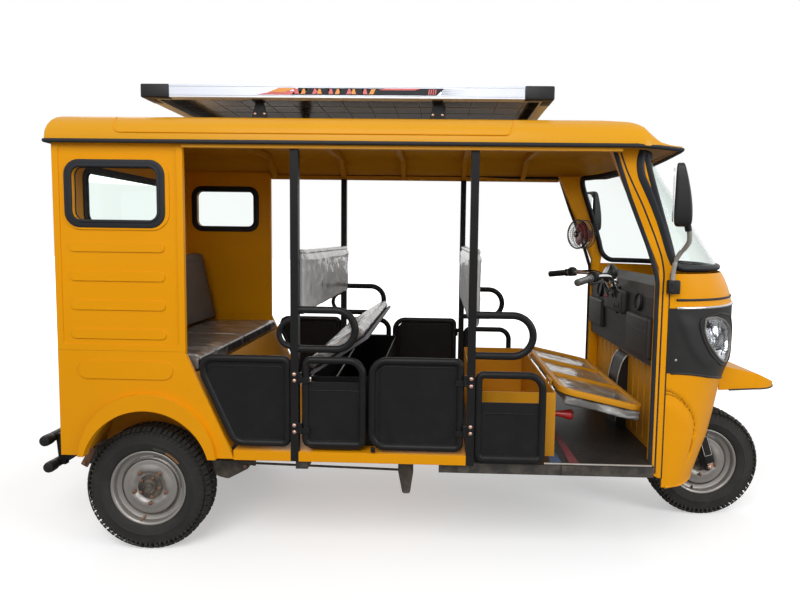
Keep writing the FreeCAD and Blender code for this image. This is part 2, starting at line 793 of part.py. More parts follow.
def guard_rear():
    h = door_tube / 2
    x1 = x_pillar_1 - half_pillar - slip - h
    z0 = door_bottom + h
    z1 = half_door_top - h
    zc = z1 - guard_corner_drop
    outline = [(slope_x(z0) + guard_gap + h, z0), (x1, z0), (x1, z1),
               (slope_x(z1) + guard_gap + 2.6 * h, z1), (slope_x(zc) + guard_gap + h, zc)]
    return framed(outline, [large_bend, small_bend, small_bend, guard_bend, guard_bend], outline)


def guard_front():
    h = door_tube / 2
    x0 = x_pillar_2 + half_pillar + slip + h
    x1 = x_pillar_2 + half_pillar + guard_reach - h
    z0 = guard_bottom + h
    z1 = guard_top - h
    outline = [(x0, z0), (x1, z0), (x1, z1), (x0, z1)]
    skin = [(x0, z0), (x1, z0), (x1, guard_open_z), (x0, guard_open_z)]
    return framed(outline, [small_bend, small_bend, large_bend, small_bend], skin)


def door_hinges(x_axis, way):
    parts = []
    y_axis = y_side + hinge_out
    for z in (hinge_top, hinge_low):
        parts.append(cylinder(hinge_radius, V(x_axis, y_axis, z - hinge_length / 2), V(x_axis, y_axis, z - slip)))
        x_far = x_axis + way * (hinge_radius + door_tube)
        parts.append(block(min(x_far, x_axis), max(x_far, x_axis), y_side - hinge_radius, y_side + sheet,
                           z - hinge_length / 2, z - slip))
    return parts


def rear_door():
    h = door_tube / 2
    x_axis = x_pillar_1 + half_pillar + hinge_ahead
    x0 = x_axis + slip * 10 + h
    x1 = x_pillar_1 + half_pillar + door_split - h
    z0 = door_bottom + h
    z1 = rear_door_top - h
    outline = [(x0, z0), (x1, z0), (x1, z1), (x0, z1)]
    skin = [(x0, z0), (x1, z0), (x1, rear_door_open_z), (x0, rear_door_open_z)]
    bends = [small_bend, small_bend, large_bend, small_bend]
    return fused([framed(outline, bends, skin)] + door_hinges(x_axis, 1))


def front_door():
    h = door_tube / 2
    x_axis = x_pillar_2 - half_pillar - hinge_ahead
    x0 = x_pillar_1 + half_pillar + door_split + door_gap + h
    x1 = x_axis - slip * 10 - h
    z0 = front_door_bottom + h
    z1 = front_door_top - h
    outline = [(x0, z0), (x1, z0), (x1, z1), (x0, z1)]
    r = large_bend
    inner = [(x0, z0 + r), (x0 + r, z0), (x1, z0), (x1, z1), (x0 + r, z1), (x0, z1 - r)]
    return fused([framed(outline, [r, small_bend, small_bend, r], inner)] + door_hinges(x_axis, -1))


# Middle and driver's seats
mid_hinge_ahead = 52.0
mid_hinge_z = half_door_top - 94.0
mid_lid_length = 292.0
mid_lid_tilt = math.radians(34.0)
mid_base = 14.0
mid_pad = 48.0
mid_half = 545.0
mid_box_skin = 5.0
mid_knuckle = 4.5
mid_knuckle_length = 30.0
mid_edge = 7.0
y_mid_hinge = 300.0
stay_ahead = 104.0
stay_top_share = 0.72
y_stay = -503.0
stay_rod = 4.0
stay_eye = 6.0
driver_box_back = 19.0
driver_box_front = 364.0
driver_rim = half_door_top - 157.0
driver_half = 490.0
driver_hinge_ahead = 8.0
driver_hinge_rise = 13.0
driver_lid_length = 366.0
driver_lid_gap = 10.0
lid_tube = 25.0
driver_pad = 50.0
driver_ear_share = 0.6
ear_knuckle = 5.0
half_knuckle = 2.0
driver_bracket_drop = 46.0
driver_tilt = math.radians(12.2)
lid_bars_share = [0.34, 0.67]
pad_round = 14.0

mid_hinge = V(x_pillar_1 + mid_hinge_ahead, 0, mid_hinge_z)
driver_hinge = V(x_pillar_2 + driver_box_front + driver_hinge_ahead, 0, driver_rim + driver_hinge_rise)


def soft_block(x0, x1, y0, y1, z0, z1, radius):
    pad = block(x0, x1, y0, y1, z0, z1)
    return pad.makeFillet(radius, pad.Edges)


def middle_backrest():
    x1 = x_pillar_1 + mid_back_x1
    return soft_block(x1 - mid_back_depth, x1, -back_half, back_half, mid_back_z0, mid_back_z1, pad_round)


def driver_backrest():
    x1 = x_pillar_2 + mid_back_x1
    return soft_block(x1 - mid_back_depth, x1, -back_half, back_half, driver_back_z0, driver_back_z1, pad_round)


def open_box(x0, x1, half, z0, z1, skin):
    outer = block(x0, x1, -half, half, z0, z1)
    return outer.cut(block(x0 + skin, x1 - skin, skin - half, half - skin, z0 + skin, z1 + overrun))


def mid_knuckles(side):
    # Half of each hinge barrel, on the box or on the seat's base
    parts = []
    for y in (-y_mid_hinge, y_mid_hinge):
        y0 = y if side > 0 else y - mid_knuckle_length
        y1 = y0 + mid_knuckle_length - slip
        foot = V(mid_hinge.x, y0, mid_hinge.z)
        parts.append(cylinder(mid_knuckle, foot, foot + V(0, y1 - y0, 0)))
        if side > 0:
            parts.append(block(mid_hinge.x - mid_box_skin / 2, mid_hinge.x + mid_box_skin / 2, y0, y1,
                               mid_hinge.z - 2 * overrun, mid_hinge.z))
        else:
            parts.append(block(mid_hinge.x, mid_hinge.x + 2 * mid_edge, y0, y1, mid_hinge.z,
                               mid_hinge.z + mid_knuckle))
    return parts


def middle_seat_box():
    x0 = mid_hinge.x - mid_box_skin / 2
    x1 = mid_hinge.x + mid_lid_length - mid_base
    box = open_box(x0, x1, mid_half - 2 * mid_base, z_floor + slip, mid_hinge.z - overrun, mid_box_skin)
    return fused([box] + mid_knuckles(1))


def driver_knuckles():
    # Fixed hinge barrels beside the lid's ears, on brackets from the box's front wall
    parts = []
    x_wall = x_pillar_2 + driver_box_front - mid_box_skin
    low = driver_rim - driver_bracket_drop
    for y in (-driver_ear_share * driver_half, driver_ear_share * driver_half):
        for way in (-1, 1):
            ya, yb = sorted((y + way * (lid_tube + slip), y + way * 2 * lid_tube))
            parts.append(block(x_wall, driver_hinge.x + half_knuckle, ya, yb, low, low + lid_tube))
            parts.append(block(driver_hinge.x - ear_knuckle, driver_hinge.x + half_knuckle, ya, yb, low, driver_hinge.z))
            parts.append(cylinder(ear_knuckle, V(driver_hinge.x, ya, driver_hinge.z), V(driver_hinge.x, yb, driver_hinge.z)))
    return parts


def driver_seat_box():
    x0 = x_pillar_2 + half_pillar + slip
    x1 = x_pillar_2 + driver_box_front
    box = open_box(x0, x1, driver_half, z_deck + mat + slip, driver_rim, mid_box_skin)
    return fused([box] + driver_knuckles())


def tilted(shape, hinge, degrees):
    turned = shape.copy()
    turned.rotate(hinge, V(0, 1, 0), degrees)
    return turned


def middle_lid(z0, z1, radius):
    return soft_block(mid_hinge.x + mid_edge, mid_hinge.x + mid_lid_length, -mid_half, mid_half,
                      mid_hinge.z + z0, mid_hinge.z + z1, radius)


def middle_seat_base():
    base = fused([middle_lid(0, mid_base, slip * 10)] + mid_knuckles(-1))
    return tilted(base, mid_hinge, -math.degrees(mid_lid_tilt))


def middle_cushion():
    return tilted(middle_lid(mid_base + slip, mid_base + mid_pad, pad_round), mid_hinge,
                  -math.degrees(mid_lid_tilt))


def stay_points():
    # Foot pivot inside the box, top resting under the seat's base
    foot = mid_hinge + V(stay_ahead, 0, -overrun - stay_eye)
    along = mid_lid_length * stay_top_share
    away = stay_rod + slip
    top = mid_hinge + V(along * math.cos(mid_lid_tilt) + away * math.sin(mid_lid_tilt), 0,
                        along * math.sin(mid_lid_tilt) - away * math.cos(mid_lid_tilt))
    return top, foot


def seat_stay():
    top, foot = stay_points()
    aside = V(0, y_stay, 0)
    rod = cylinder(stay_rod, top + aside, foot + aside)
    eye = cylinder(stay_eye, foot + aside - V(0, stay_eye, 0), foot + aside + V(0, stay_eye, 0))
    wall_y = mid_box_skin + slip + 2 * mid_base - mid_half
    pin = cylinder(stay_rod, foot + V(0, wall_y, 0), foot + aside)
    return fused([rod, eye, pin])


def driver_lid():
    # Square tube frame, drawn closed and then swung open
    x1 = driver_hinge.x - driver_lid_gap
    x0 = x1 - driver_lid_length
    z0 = driver_rim + slip
    z1 = z0 + lid_tube
    half = driver_half
    frame = block(x0, x1, -half, half, z0, z1)
    frame = frame.cut(block(x0 + lid_tube, x1 - lid_tube, lid_tube - half, half - lid_tube,
                            z0 - overrun, z1 + overrun))
    bars = []
    for share in lid_bars_share:
        y = (2 * share - 1) * half
        bars.append(block(x0 + slip, x1 - slip, y - lid_tube / 2, y + lid_tube / 2, z0 + sheet, z1))
    board = block(x0 + slip, x1 - slip, slip - half, half - slip, z1 - sheet, z1)
    ears = []
    for y in (-half * driver_ear_share, half * driver_ear_share):
        ears.append(block(x1 - overrun, driver_hinge.x, y - lid_tube, y + lid_tube,
                          driver_hinge.z - sheet, driver_hinge.z + sheet))
        ears.append(cylinder(ear_knuckle, V(driver_hinge.x, y - lid_tube, driver_hinge.z),
                             V(driver_hinge.x, y + lid_tube, driver_hinge.z)))
    lid = fused([frame, board] + bars + ears)
    return tilted(lid, driver_hinge, 180 + math.degrees(driver_tilt))


def driver_cushion():
    x1 = driver_hinge.x - driver_lid_gap - lid_tube
    x0 = x1 - driver_lid_length + lid_tube
    z0 = driver_rim + slip + lid_tube + slip
    pad = soft_block(x0, x1, overrun - driver_half, driver_half - overrun, z0, z0 + driver_pad, pad_round)
    return tilted(pad, driver_hinge, 180 + math.degrees(driver_tilt))


rear_pad = 62.0
rear_back_top = half_door_top + 387.0
rear_back_depth = 80.0
rear_back_lean = 87.0
rear_back_front = 208.0


def rear_cushion():
    x1 = slope_x(seat_deck_top) + guard_gap / 2
    x0 = x_body_rear + rear_back_front - rear_back_depth - slip * 10
    return soft_block(x0, x1, -back_half, back_half, seat_deck_top + slip, seat_deck_top + slip + rear_pad,
                      pad_round)


def rear_backrest():
    z0 = seat_deck_top + rear_pad + 2 * slip
    x_low = x_body_rear + rear_back_front
    outline = [(x_low, z0), (x_low - rear_back_lean, rear_back_top),
               (x_low - rear_back_lean - rear_back_depth, rear_back_top), (x_low - rear_back_depth, z0)]
    return prism_y(outline, [pad_round, pad_round * 2, pad_round, pad_round], -back_half, back_half)


# Cab front
post_depth = 42.0
post_width = 46.0
post_slant = 3.0
waist_height = 1258.0
post_bottom = z_sill - 19.0
nose_top_z = 1252.0
scuttle_top = 1238.0
chrome_z = 1097.0
band_low_z = 792.0
cowl_low_z = 345.0
cowl_skin = 6.0
nose_front = 51.0
glass_skin = 6.0
x_nose_side = x_post + post_width + slip
x_nose = x_front_axle + nose_front
screen_low_share = 0.0
wheel_opening = 225.0
opening_top = 640.0
opening_round = 80.0


post_top_back = 207.0
post_top_front = 88.0
post_knee_ahead = 10.0
post_knee_drop = 296.0
post_foot_ahead = 57.0
post_foot_rise = 46.0
post_toe = 31.0


def cab_pillar():
    x = x_post
    top = gutter_height - slip
    outline = [(x - post_slant, z_sill), (x, waist_height), (x - post_top_back, top),
               (x - post_top_front, top), (x + post_knee_ahead, gutter_height - post_knee_drop),
               (x + post_foot_ahead, waist_height + post_foot_rise), (x + post_width, scuttle_top + 2 * slip),
               (x + post_width, post_bottom), (x + post_toe, post_bottom)]
    return both(prism_y(outline, 0, y_cab - post_depth, y_cab))


# How far the nose's centre line stands back at each height
nose_profile = [(345.0, 178.0), (430.0, 138.0), (520.0, 98.0), (610.0, 74.0), (692.0, 56.0), (752.0, 42.0),
                (806.0, 19.0), (832.0, 7.0), (856.0, 1.0), (982.0, 0.0), (1097.0, 0.0)]
scuttle_profile = [(1097.0, 0.0), (1121.0, 8.0), (1148.0, 16.0), (1173.0, 26.0), (1208.0, 44.0), (1238.0, 65.0)]
band_dip = [(-600.0, 836.0), (-420.0, 826.0), (-250.0, 800.0), (-120.0, 776.0), (0.0, 766.0)]
lamp_outline = [(-330.0, 1049.0), (-270.0, 1053.0), (-150.0, 1004.0), (-108.0, 930.0), (-118.0, 846.0),
                (-180.0, 804.0), (-246.0, 852.0), (-334.0, 974.0)]
lamp_proud = 7.0
lamp_bend = 26.0
lamp_depth = 44.0
lamp_half = 110.0


def nose_skin(profile, proud, skin):
    levels = [(x_nose_side, x_nose - back + proud, height) for height, back in profile]
    return nose_shell(levels, y_cab - slip + proud, skin)


def lamp_prism(grow):
    # The lamp outline, grown about its middle where it is a hole
    ym = sum(y for y, z in lamp_outline) / len(lamp_outline)
    zm = sum(z for y, z in lamp_outline) / len(lamp_outline)
    share = 1 + grow / lamp_half
    outline = [(ym + (y - ym) * share, zm + (z - zm) * share) for y, z in lamp_outline]
    return prism_x(outline, lamp_bend, x_nose_side, x_nose + tyre_radius)


def band_region():
    half = [(y, z) for y, z in band_dip]
    other = [(-y, z) for y, z in reversed(band_dip[:-1])]
    points = half + other + [(-band_dip[0][0], nose_top_z), (band_dip[0][0], nose_top_z)]
    return prism_x(points, 0, x_post - overrun, x_nose + tyre_radius)


def scuttle():
    raised = [(height + slip, back) for height, back in scuttle_profile]
    return nose_skin(raised, 0, cowl_skin)


def nose_band():
    band = nose_skin(nose_profile, 0, cowl_skin).common(band_region())
    return band.cut(both(lamp_prism(slip)))


def front_cowl():
    shell = nose_skin(nose_profile, 0, cowl_skin).cut(band_region())
    opening = prism_x([(-wheel_opening, 0), (wheel_opening, 0), (wheel_opening, opening_top),
                       (-wheel_opening, opening_top)], [0, 0, opening_round, opening_round],
                      x_nose_side - overrun, x_nose + tyre_radius)
    return shell.cut(opening)


screen_profile = [(1252.0, 60.0, 388.0), (1272.0, 57.0, 376.0), (1355.0, 36.0, 328.0), (1439.0, 12.0, 278.0),
                  (1482.0, -2.0, 244.0), (1525.0, -17.0, 209.0), (1612.0, -48.0, 136.0), (1698.0, -76.0, 70.0),
                  (1736.7, -88.0, 34.0)]


def windscreen():
    levels = [(x_post + side, x_post + front, z) for z, side, front in screen_profile]
    return nose_shell(levels, y_cab - post_depth - slip, glass_skin)


dash_low = 840.0
dash_above_clamp = 29.5
dash_top = z_clamp + dash_above_clamp
dash_skin = 22.0
dash_shelf_reach = 130.0
dash_shelf_rise = 30.0
dash_shelf_skin = 14.0
bulkhead_skin = 4.0
cover_reach = 50.0
cover_half = 70.0
cover_knee = 690.0
cover_shoulder = 790.0
cover_top = 815.0
cover_bend = 36.0


def dashboard():
    x = x_post
    face = [(x + 8.0, dash_low), (x + 2.0, dash_low + 160.0), (x + 6.0, dash_top - 48.0), (x + 40.0, dash_top)]
    shelf = [(x + dash_shelf_reach, dash_top + dash_shelf_rise),
             (x + dash_shelf_reach, dash_top + dash_shelf_rise - dash_shelf_skin)]
    back = [(px + dash_skin, pz - (dash_shelf_skin if pz == dash_top else 0)) for px, pz in reversed(face)]
    y = y_cab - post_depth - slip
    dash = prism_y(face + shelf + back, 0, -y, y)
    column = cylinder(head_outer + overrun, on_steering(head_high), on_steering(clamp_height + dash_shelf_reach))
    slot = column.fuse(column.translated(V(0, 0, -head_outer)))
    return dash.cut(slot)


def bulkhead():
    y = y_cab - post_depth - slip
    panel = block(x_bulkhead, x_bulkhead + bulkhead_skin, -y, y, z_deck + slip, dash_low - slip)
    low = z_deck + mat + slip
    x = x_bulkhead - cover_reach
    cover = prism_y([(x, low), (x, cover_knee), (x + cover_reach / 2, cover_shoulder),
                     (x_bulkhead + slip, cover_top), (x_bulkhead + slip, low)],
                    [0, cover_bend, cover_bend, 0, 0], -cover_half, cover_half)
    return fused([panel, cover])


beak_low = 660.0
beak_tip_z = 692.0
beak_root_z = 785.0
beak_reach = 324.0
beak_half = 150.0
beak_skin = 5.0


def beak_solid(skin):
    x_tip = x_front_axle + beak_reach - skin
    half = beak_half - skin
    x0 = x_nose - 60.0
    points = [V(x0, -half * 1.25, 0), V(x_tip - half, -half, 0)]
    nose = Part.Arc(V(x_tip - half, -half, 0), V(x_tip, 0, 0), V(x_tip - half, half, 0))
    edges = [Part.LineSegment(points[0], points[1]), nose,
             Part.LineSegment(V(x_tip - half, half, 0), V(x0, half * 1.25, 0)),
             Part.LineSegment(V(x0, half * 1.25, 0), points[0])]
    plan = Part.Face(Part.Wire([e.toShape() for e in edges])).extrude(V(0, 0, dash_top))
    low = beak_low - (overrun if skin else 0)
    side = prism_y([(x0 - overrun, low), (x_tip + overrun, low), (x_tip + overrun, beak_tip_z - skin),
                    (x0 - overrun, beak_root_z - skin)], 0, -y_side, y_side)
    return plan.common(side)


def mudguard():
    shell = beak_solid(0).cut(beak_solid(beak_skin))
    wires = []
    for z, back in nose_profile:
        curve = half_ellipse(x_nose_side, x_nose - back + slip, y_cab, z)
        chord = Part.LineSegment(V(x_nose_side, y_cab, z), V(x_nose_side, -y_cab, z)).toShape()
        wires.append(Part.Wire([curve, chord]))
    return shell.cut(Part.makeLoft(wires, True, True))


def headlamps():
    # Lenses a little proud of the band, each one piece with its bowl
    shell = nose_skin(nose_profile, lamp_proud, lamp_proud + lamp_depth)
    return both(shell.common(lamp_prism(0)))


mirror_y = 652.0
mirror_foot = waist_height + 165.0
mirror_height = 245.0
mirror_half_width = 58.0
mirror_back = 30.0
mirror_front = 44.0
mirror_bend = 30.0
mirror_ahead = 42.0
stem_radius = 9.0
stem_low = 84.0
stem_knee = 62.0
stem_high = 114.0
clamp_half = 14.0
clamp_drop = 18.0
clamp_rise = 58.0


def mirrors():
    # A deep head, flat to the rear, on a cranked stem clamped to the cab post
    x = x_post + mirror_ahead
    y = y_cab + stem_radius + slip
    z0 = mirror_foot
    z1 = mirror_foot + mirror_height
    x0 = x - mirror_front
    x1 = x + mirror_back
    side = prism_y([(x0, z0), (x1, z0 + mirror_bend), (x1, z1 - 2 * mirror_bend), (x0 + mirror_bend, z1), (x0, z1)],
                   [stem_radius, mirror_bend, mirror_bend, mirror_bend / 2, stem_radius / 2],
                   mirror_y - mirror_half_width, mirror_y + mirror_half_width)
    front = prism_x([(mirror_y - mirror_half_width, z0), (mirror_y + mirror_half_width, z0),
                     (mirror_y + mirror_half_width, z1), (mirror_y - mirror_half_width, z1)],
                    mirror_bend, x0 - overrun, x1 + overrun)
    head = side.common(front)
    stem = tube([V(x, y, waist_height - stem_low), V(x, y, waist_height + stem_knee),
                 V(x + clamp_half, mirror_y - 2 * stem_radius, waist_height + stem_high),
                 V(x, mirror_y, z0 + 2 * stem_radius)], 2 * stem_radius, stem_radius)
    z_clamp_low = waist_height - stem_low - clamp_drop
    clamp = block(x - clamp_half, x + clamp_half, y_cab + slip, y + stem_radius + sheet,
                  z_clamp_low, z_clamp_low + clamp_rise)
    return both(fused([head, stem, clamp]))


fan_radius = 80.0
fan_back = 62.0
fan_above_waist = 146.0
fan_depth = 60.0
fan_bulge = 10.0
fan_ring = 3.5
fan_wire = 1.6
fan_wires = 8
fan_eye_share = 0.42
fan_motor_radius = 26.0
fan_motor_length = 40.0
fan_foot_radius = 16.0
fan_foot_depth = 12.0
fan_foot_ahead = 20.0
fan_foot_drop = 40.0
fan_stem = 7.0
fan_hub = 14.0
fan_blade_count = 3
fan_blade_reach = 38.0
fan_blade_radius = 30.0
fan_blade_skin = 4.0
fan_pitch = 25.0
fan_way = V(-0.86, -0.5, 0)
fan_side = fan_way.cross(V(0, 0, 1))


def fan_centre():
    return V(x_post - fan_back, y_cab - post_depth - fan_back, waist_height + fan_above_waist)


def fan_out(turn):
    return fan_side * math.cos(turn) + V(0, 0, 1) * math.sin(turn)


def fan_cage():
    c = fan_centre()
    eye = fan_radius * fan_eye_share
    parts = []
    for offset, radius in ((0, fan_radius), (fan_depth, fan_radius), (fan_depth + fan_bulge, eye)):
        parts.append(Part.makeTorus(radius, fan_ring, c + fan_way * offset, fan_way))
    for i in range(fan_wires):
        out = fan_out(2 * math.pi * i / fan_wires)
        a = c + out * fan_radius
        b = a + fan_way * fan_depth
        parts.append(cylinder(fan_wire, a, b))
        parts.append(cylinder(fan_wire, a, c + out * eye / 2 - fan_way * fan_bulge))
        parts.append(cylinder(fan_wire, b, c + out * eye + fan_way * (fan_depth + fan_bulge)))
    backing = cylinder(eye, c - fan_way * (fan_bulge + sheet), c - fan_way * (fan_bulge - sheet / 2))
    motor = cylinder(fan_motor_radius, c - fan_way * fan_motor_length, c + fan_way * sheet)
    y_face = y_cab - post_depth - slip
    foot = V(c.x + fan_foot_ahead, y_face, c.z - fan_foot_drop)
    base = cylinder(fan_foot_radius, foot - V(0, fan_foot_depth, 0), foot)
    stem = cylinder(fan_stem, c - fan_way * (fan_motor_length - fan_stem), foot - V(0, fan_stem + slip, 0))
    return fused(parts + [motor, backing, base, stem])


def fan_blades():
    c = fan_centre()
    hub = cylinder(fan_hub, c + fan_way * (sheet + slip), c + fan_way * (fan_depth - fan_hub))
    parts = [hub]
    for i in range(fan_blade_count):
        out = fan_out(2 * math.pi * i / fan_blade_count)
        mid = c + fan_way * (fan_depth / 2 - sheet) + out * fan_blade_reach
        blade = cylinder(fan_blade_radius, mid - fan_way * fan_blade_skin / 2, mid + fan_way * fan_blade_skin / 2)
        blade.rotate(mid, out, fan_pitch)
        parts.append(blade)
    return fused(parts)


# Steering and front fork
leg_y = 86.0
leg_radius = 19.0
crown_height = 326.0
crown_thick = 22.0
stem_top = 900.0
stem_out = 16.0
bar_radius = 12.0
grip_radius = 17.0
grip_length = 118.0
race_length = 14.0


def fork():
    leg_low = on_steering(-6.0, fork_lead, leg_y)
    leg_top = on_steering(crown_height + crown_thick, fork_lead * 0.4, leg_y)
    leg = cylinder(leg_radius, leg_low, leg_top)
    boot = cylinder(leg_radius + 5, on_steering(120.0, fork_lead * 0.7, leg_y), on_steering(230.0, fork_lead * 0.5, leg_y))
    axle = V(x_front_axle, 0, tyre_radius)
    spindle = cylinder(stub_radius - slip, axle + V(0, -leg_y, 0), axle + V(0, leg_y, 0))
    end = cylinder(leg_radius + 6, axle + V(0, leg_y - 12, 0), axle + V(0, leg_y + 12, 0))
    crown = cylinder(46.0, on_steering(crown_height), on_steering(crown_height + crown_thick))
    arm = cylinder(crown_thick / 2, on_steering(crown_height + crown_thick / 2, 5.0, -leg_y),
                   on_steering(crown_height + crown_thick / 2, 5.0, leg_y))
    column = cylinder(stem_out, on_steering(crown_height), on_steering(clamp_height))
    races = []
    for height in (head_low, head_high - race_length):
        races.append(cylinder(head_inner - slip, on_steering(height), on_steering(height + race_length)))
    return fused([leg, mirrored(leg), boot, mirrored(boot), end, mirrored(end), spindle, crown, arm,
                  column] + races)


bar_bend = 34.0
bar_rise = 42.0
bar_out = 318.0
bar_back = 250.0
pod_radius = 25.0
pod_length = 36.0
bar_clamp_radius = 30.0
bar_clamp_height = 34.0


def handlebar():
    mid = on_steering(clamp_height + bar_radius + slip)
    points = [V(-bar_radius, -slip, 0), V(-2.5 * bar_radius, bar_out / 3, bar_rise * 0.7),
              V(-bar_back * 0.56, bar_out * 0.63, bar_rise), V(-bar_back, bar_out, bar_rise / 2)]
    points = [mid + point for point in points]
    half = tube(points, bar_bend, bar_radius)
    way = (points[3] - points[2]).normalize()
    grip = cylinder(grip_radius, points[3] - way * grip_length, points[3] + way * sheet)
    pod_end = points[3] - way * (grip_length + sheet)
    pod = cylinder(pod_radius, pod_end - way * pod_length, pod_end)
    clamp = cylinder(bar_clamp_radius, on_steering(clamp_height + slip), on_steering(clamp_height + bar_clamp_height))
    return fused([half, mirrored(half), grip, mirrored(grip), pod, mirrored(pod), clamp])


# Rear bumper, lamps and solar panel
bumper_high = 437.0
bumper_low = 316.0
bumper_tube = 22.0
bumper_half = 400.0
x_bumper_high = 202.0
x_bumper_low = 188.0


def rear_bumper():
    xa = x_body_rear - x_bumper_high
    xb = x_body_rear - x_bumper_low
    high = cylinder(bumper_tube, V(xa, -bumper_half, bumper_high), V(xa, bumper_half, bumper_high))
    low = cylinder(bumper_tube, V(xb, -bumper_half, bumper_low), V(xb, bumper_half, bumper_low))
    ends = []
    for x, z in ((xa, bumper_high), (xb, bumper_low)):
        for y in (-bumper_half, bumper_half):
            ends.append(Part.makeSphere(bumper_tube, V(x, y, z)))
    x_rail = x_body_rear - chassis_tail - slip
    for y in (y_rail, -y_rail):
        ends.append(prism_y([(xa + 10, bumper_high + 14), (xa + 40, bumper_high + 14), (xb + 40, bumper_low - 10),
                             (xb + 10, bumper_low - 10)], 0, y - 12, y + 12))
        ends.append(prism_y([(xa + 12, bumper_high + 6), (xa + 12, bumper_high - 14), (x_rail, z_deck - 22), (x_rail, z_deck - 2)],
                            0, y - 12, y + 12))
        ends.append(prism_y([(xb + 12, bumper_low + 12), (xb + 12, bumper_low - 10), (x_rail, z_sill + 2), (x_rail, z_sill + 22)],
                            0, y - 12, y + 12))
    return fused([high, low] + ends)


lamp_wide = 70.0
lamp_high = 190.0


def tail_lamps():
    x1 = x_body_rear + press_depth - slip
    y1 = y_side - border
    lamp = prism_x([(y1 - lamp_wide, z_seam + 30), (y1, z_seam + 30), (y1, z_seam + 30 + lamp_high),
                    (y1 - lamp_wide, z_seam + 30 + lamp_high)], 16, x1 - 34, x1)
    return both(lamp)


panel_z0 = gutter_height + 205.0
panel_z1 = panel_z0 + 52.0
panel_x0 = -1190.0
panel_x1 = 520.0
panel_half = 480.0
cell_thick = 8.0
frame_lip = 34.0


def solar_panel():
    frame = block(panel_x0, panel_x1, -panel_half, panel_half, panel_z0, panel_z1)
    hollow = block(panel_x0 + 3, panel_x1 - 3, 3 - panel_half, panel_half - 3, panel_z0 + 3, panel_z1 + 3)
    lower = block(panel_x0 + frame_lip, panel_x1 - frame_lip, frame_lip - panel_half, panel_half - frame_lip,
                  panel_z0 - 3, panel_z1)
    glass = block(panel_x0 + 2, panel_x1 - 2, 2 - panel_half, panel_half - 2, panel_z1 - cell_thick, panel_z1 - 1)
    return fused([frame.cut(hollow).cut(lower), glass])


bracket_half = 38.0
bracket_y = 440.0
bracket_x = [-713.0, 45.0]


def solar_brackets():
    # Four folded feet, and the two rails on the roof that they stand on
    roof_z = gutter_height + roof_rise + roof_crown * 0.45
    parts = []
    for x in bracket_x:
        foot = prism_y([(x - bracket_half, roof_z + 2), (x + bracket_half, roof_z + 2), (x + bracket_half * 0.4, panel_z0 - slip),
                        (x - bracket_half * 0.4, panel_z0 - slip)], 0, bracket_y - 30, bracket_y - 24)
        plate = block(x - bracket_half, x + bracket_half, bracket_y - 50, bracket_y, roof_z + 2, roof_z + 7)
        top = block(x - bracket_half * 0.6, x + bracket_half * 0.6, bracket_y - 30, bracket_y + 10, panel_z0 - 6, panel_z0 - slip)
        one = fused([foot, plate, top])
        parts += [one, mirrored(one)]
    return Part.makeCompound(parts)


def main():
    os.makedirs("parts", exist_ok=True)
    tyre_shape, rim_shape = tyre(), rim()
    write("chassis", chassis())
    write("rear_axle", rear_axle())
    write("drive_motor", drive_motor())
    write("battery_pack", battery_pack())
    write("leaf_springs", both(leaf_spring()))
    write("brake_linkage", brake_linkage())
    write("passenger_floor", passenger_floor())
    write("cab_floor", cab_floor())
    for name, maker in (("rear_side", rear_side), ("rear_quarter", rear_quarter),
                        ("rear_door", rear_door), ("front_door", front_door)):
        left = maker()
        write(name + "_left", left)
        write(name + "_right", mirrored(left))
    write("rear_wall", rear_wall())
    write("rear_seat_box", rear_seat_box())
    write("roof_shell", roof_shell())
    write("roof_frame", roof_frame())
    write("side_frames", both(side_frame()))
    write("rear_guards", both(guard_rear()))
    write("front_guards", both(guard_front()))
    write("middle_backrest", middle_backrest())
    write("middle_seat_box", middle_seat_box())
    write("middle_seat_base", middle_seat_base())
    write("middle_cushion", middle_cushion())
    write("seat_stay", seat_stay())
    write("driver_backrest", driver_backrest())
    write("driver_seat_box", driver_seat_box())
    write("driver_lid", driver_lid())
    write("driver_cushion", driver_cushion())
    write("rear_cushion", rear_cushion())
    write("rear_backrest", rear_backrest())
    write("cab_pillars", cab_pillar())
    write("windscreen", windscreen())
    write("scuttle", scuttle())
    write("nose_band", nose_band())
    write("front_cowl", front_cowl())
    write("dashboard", dashboard())
    write("bulkhead", bulkhead())
    write("mudguard", mudguard())
    write("headlamps", headlamps())
    write("mirrors", mirrors())
    write("fan_cage", fan_cage())
    write("fan_blades", fan_blades())
    write("fork", fork())
    write("handlebar", handlebar())
    for side, y, left in (("left", y_wheel, True), ("right", -y_wheel, False)):
        write("rear_tyre_" + side, placed(tyre_shape, x_rear_axle, y, tyre_radius, left))
        write("rear_rim_" + side, placed(rim_shape, x_rear_axle, y, tyre_radius, left))
    write("front_tyre", placed(tyre_shape, x_front_axle, 0, tyre_radius))
    write("front_rim", placed(rim(False), x_front_axle, 0, tyre_radius))
    write("rear_bumper", rear_bumper())
    write("tail_lamps", tail_lamps())
    write("solar_panel", solar_panel())
    write("solar_brackets", solar_brackets())


main()
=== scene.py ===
import bpy, bmesh, math
from mathutils import Matrix, Vector
from mathutils import noise as mnoise


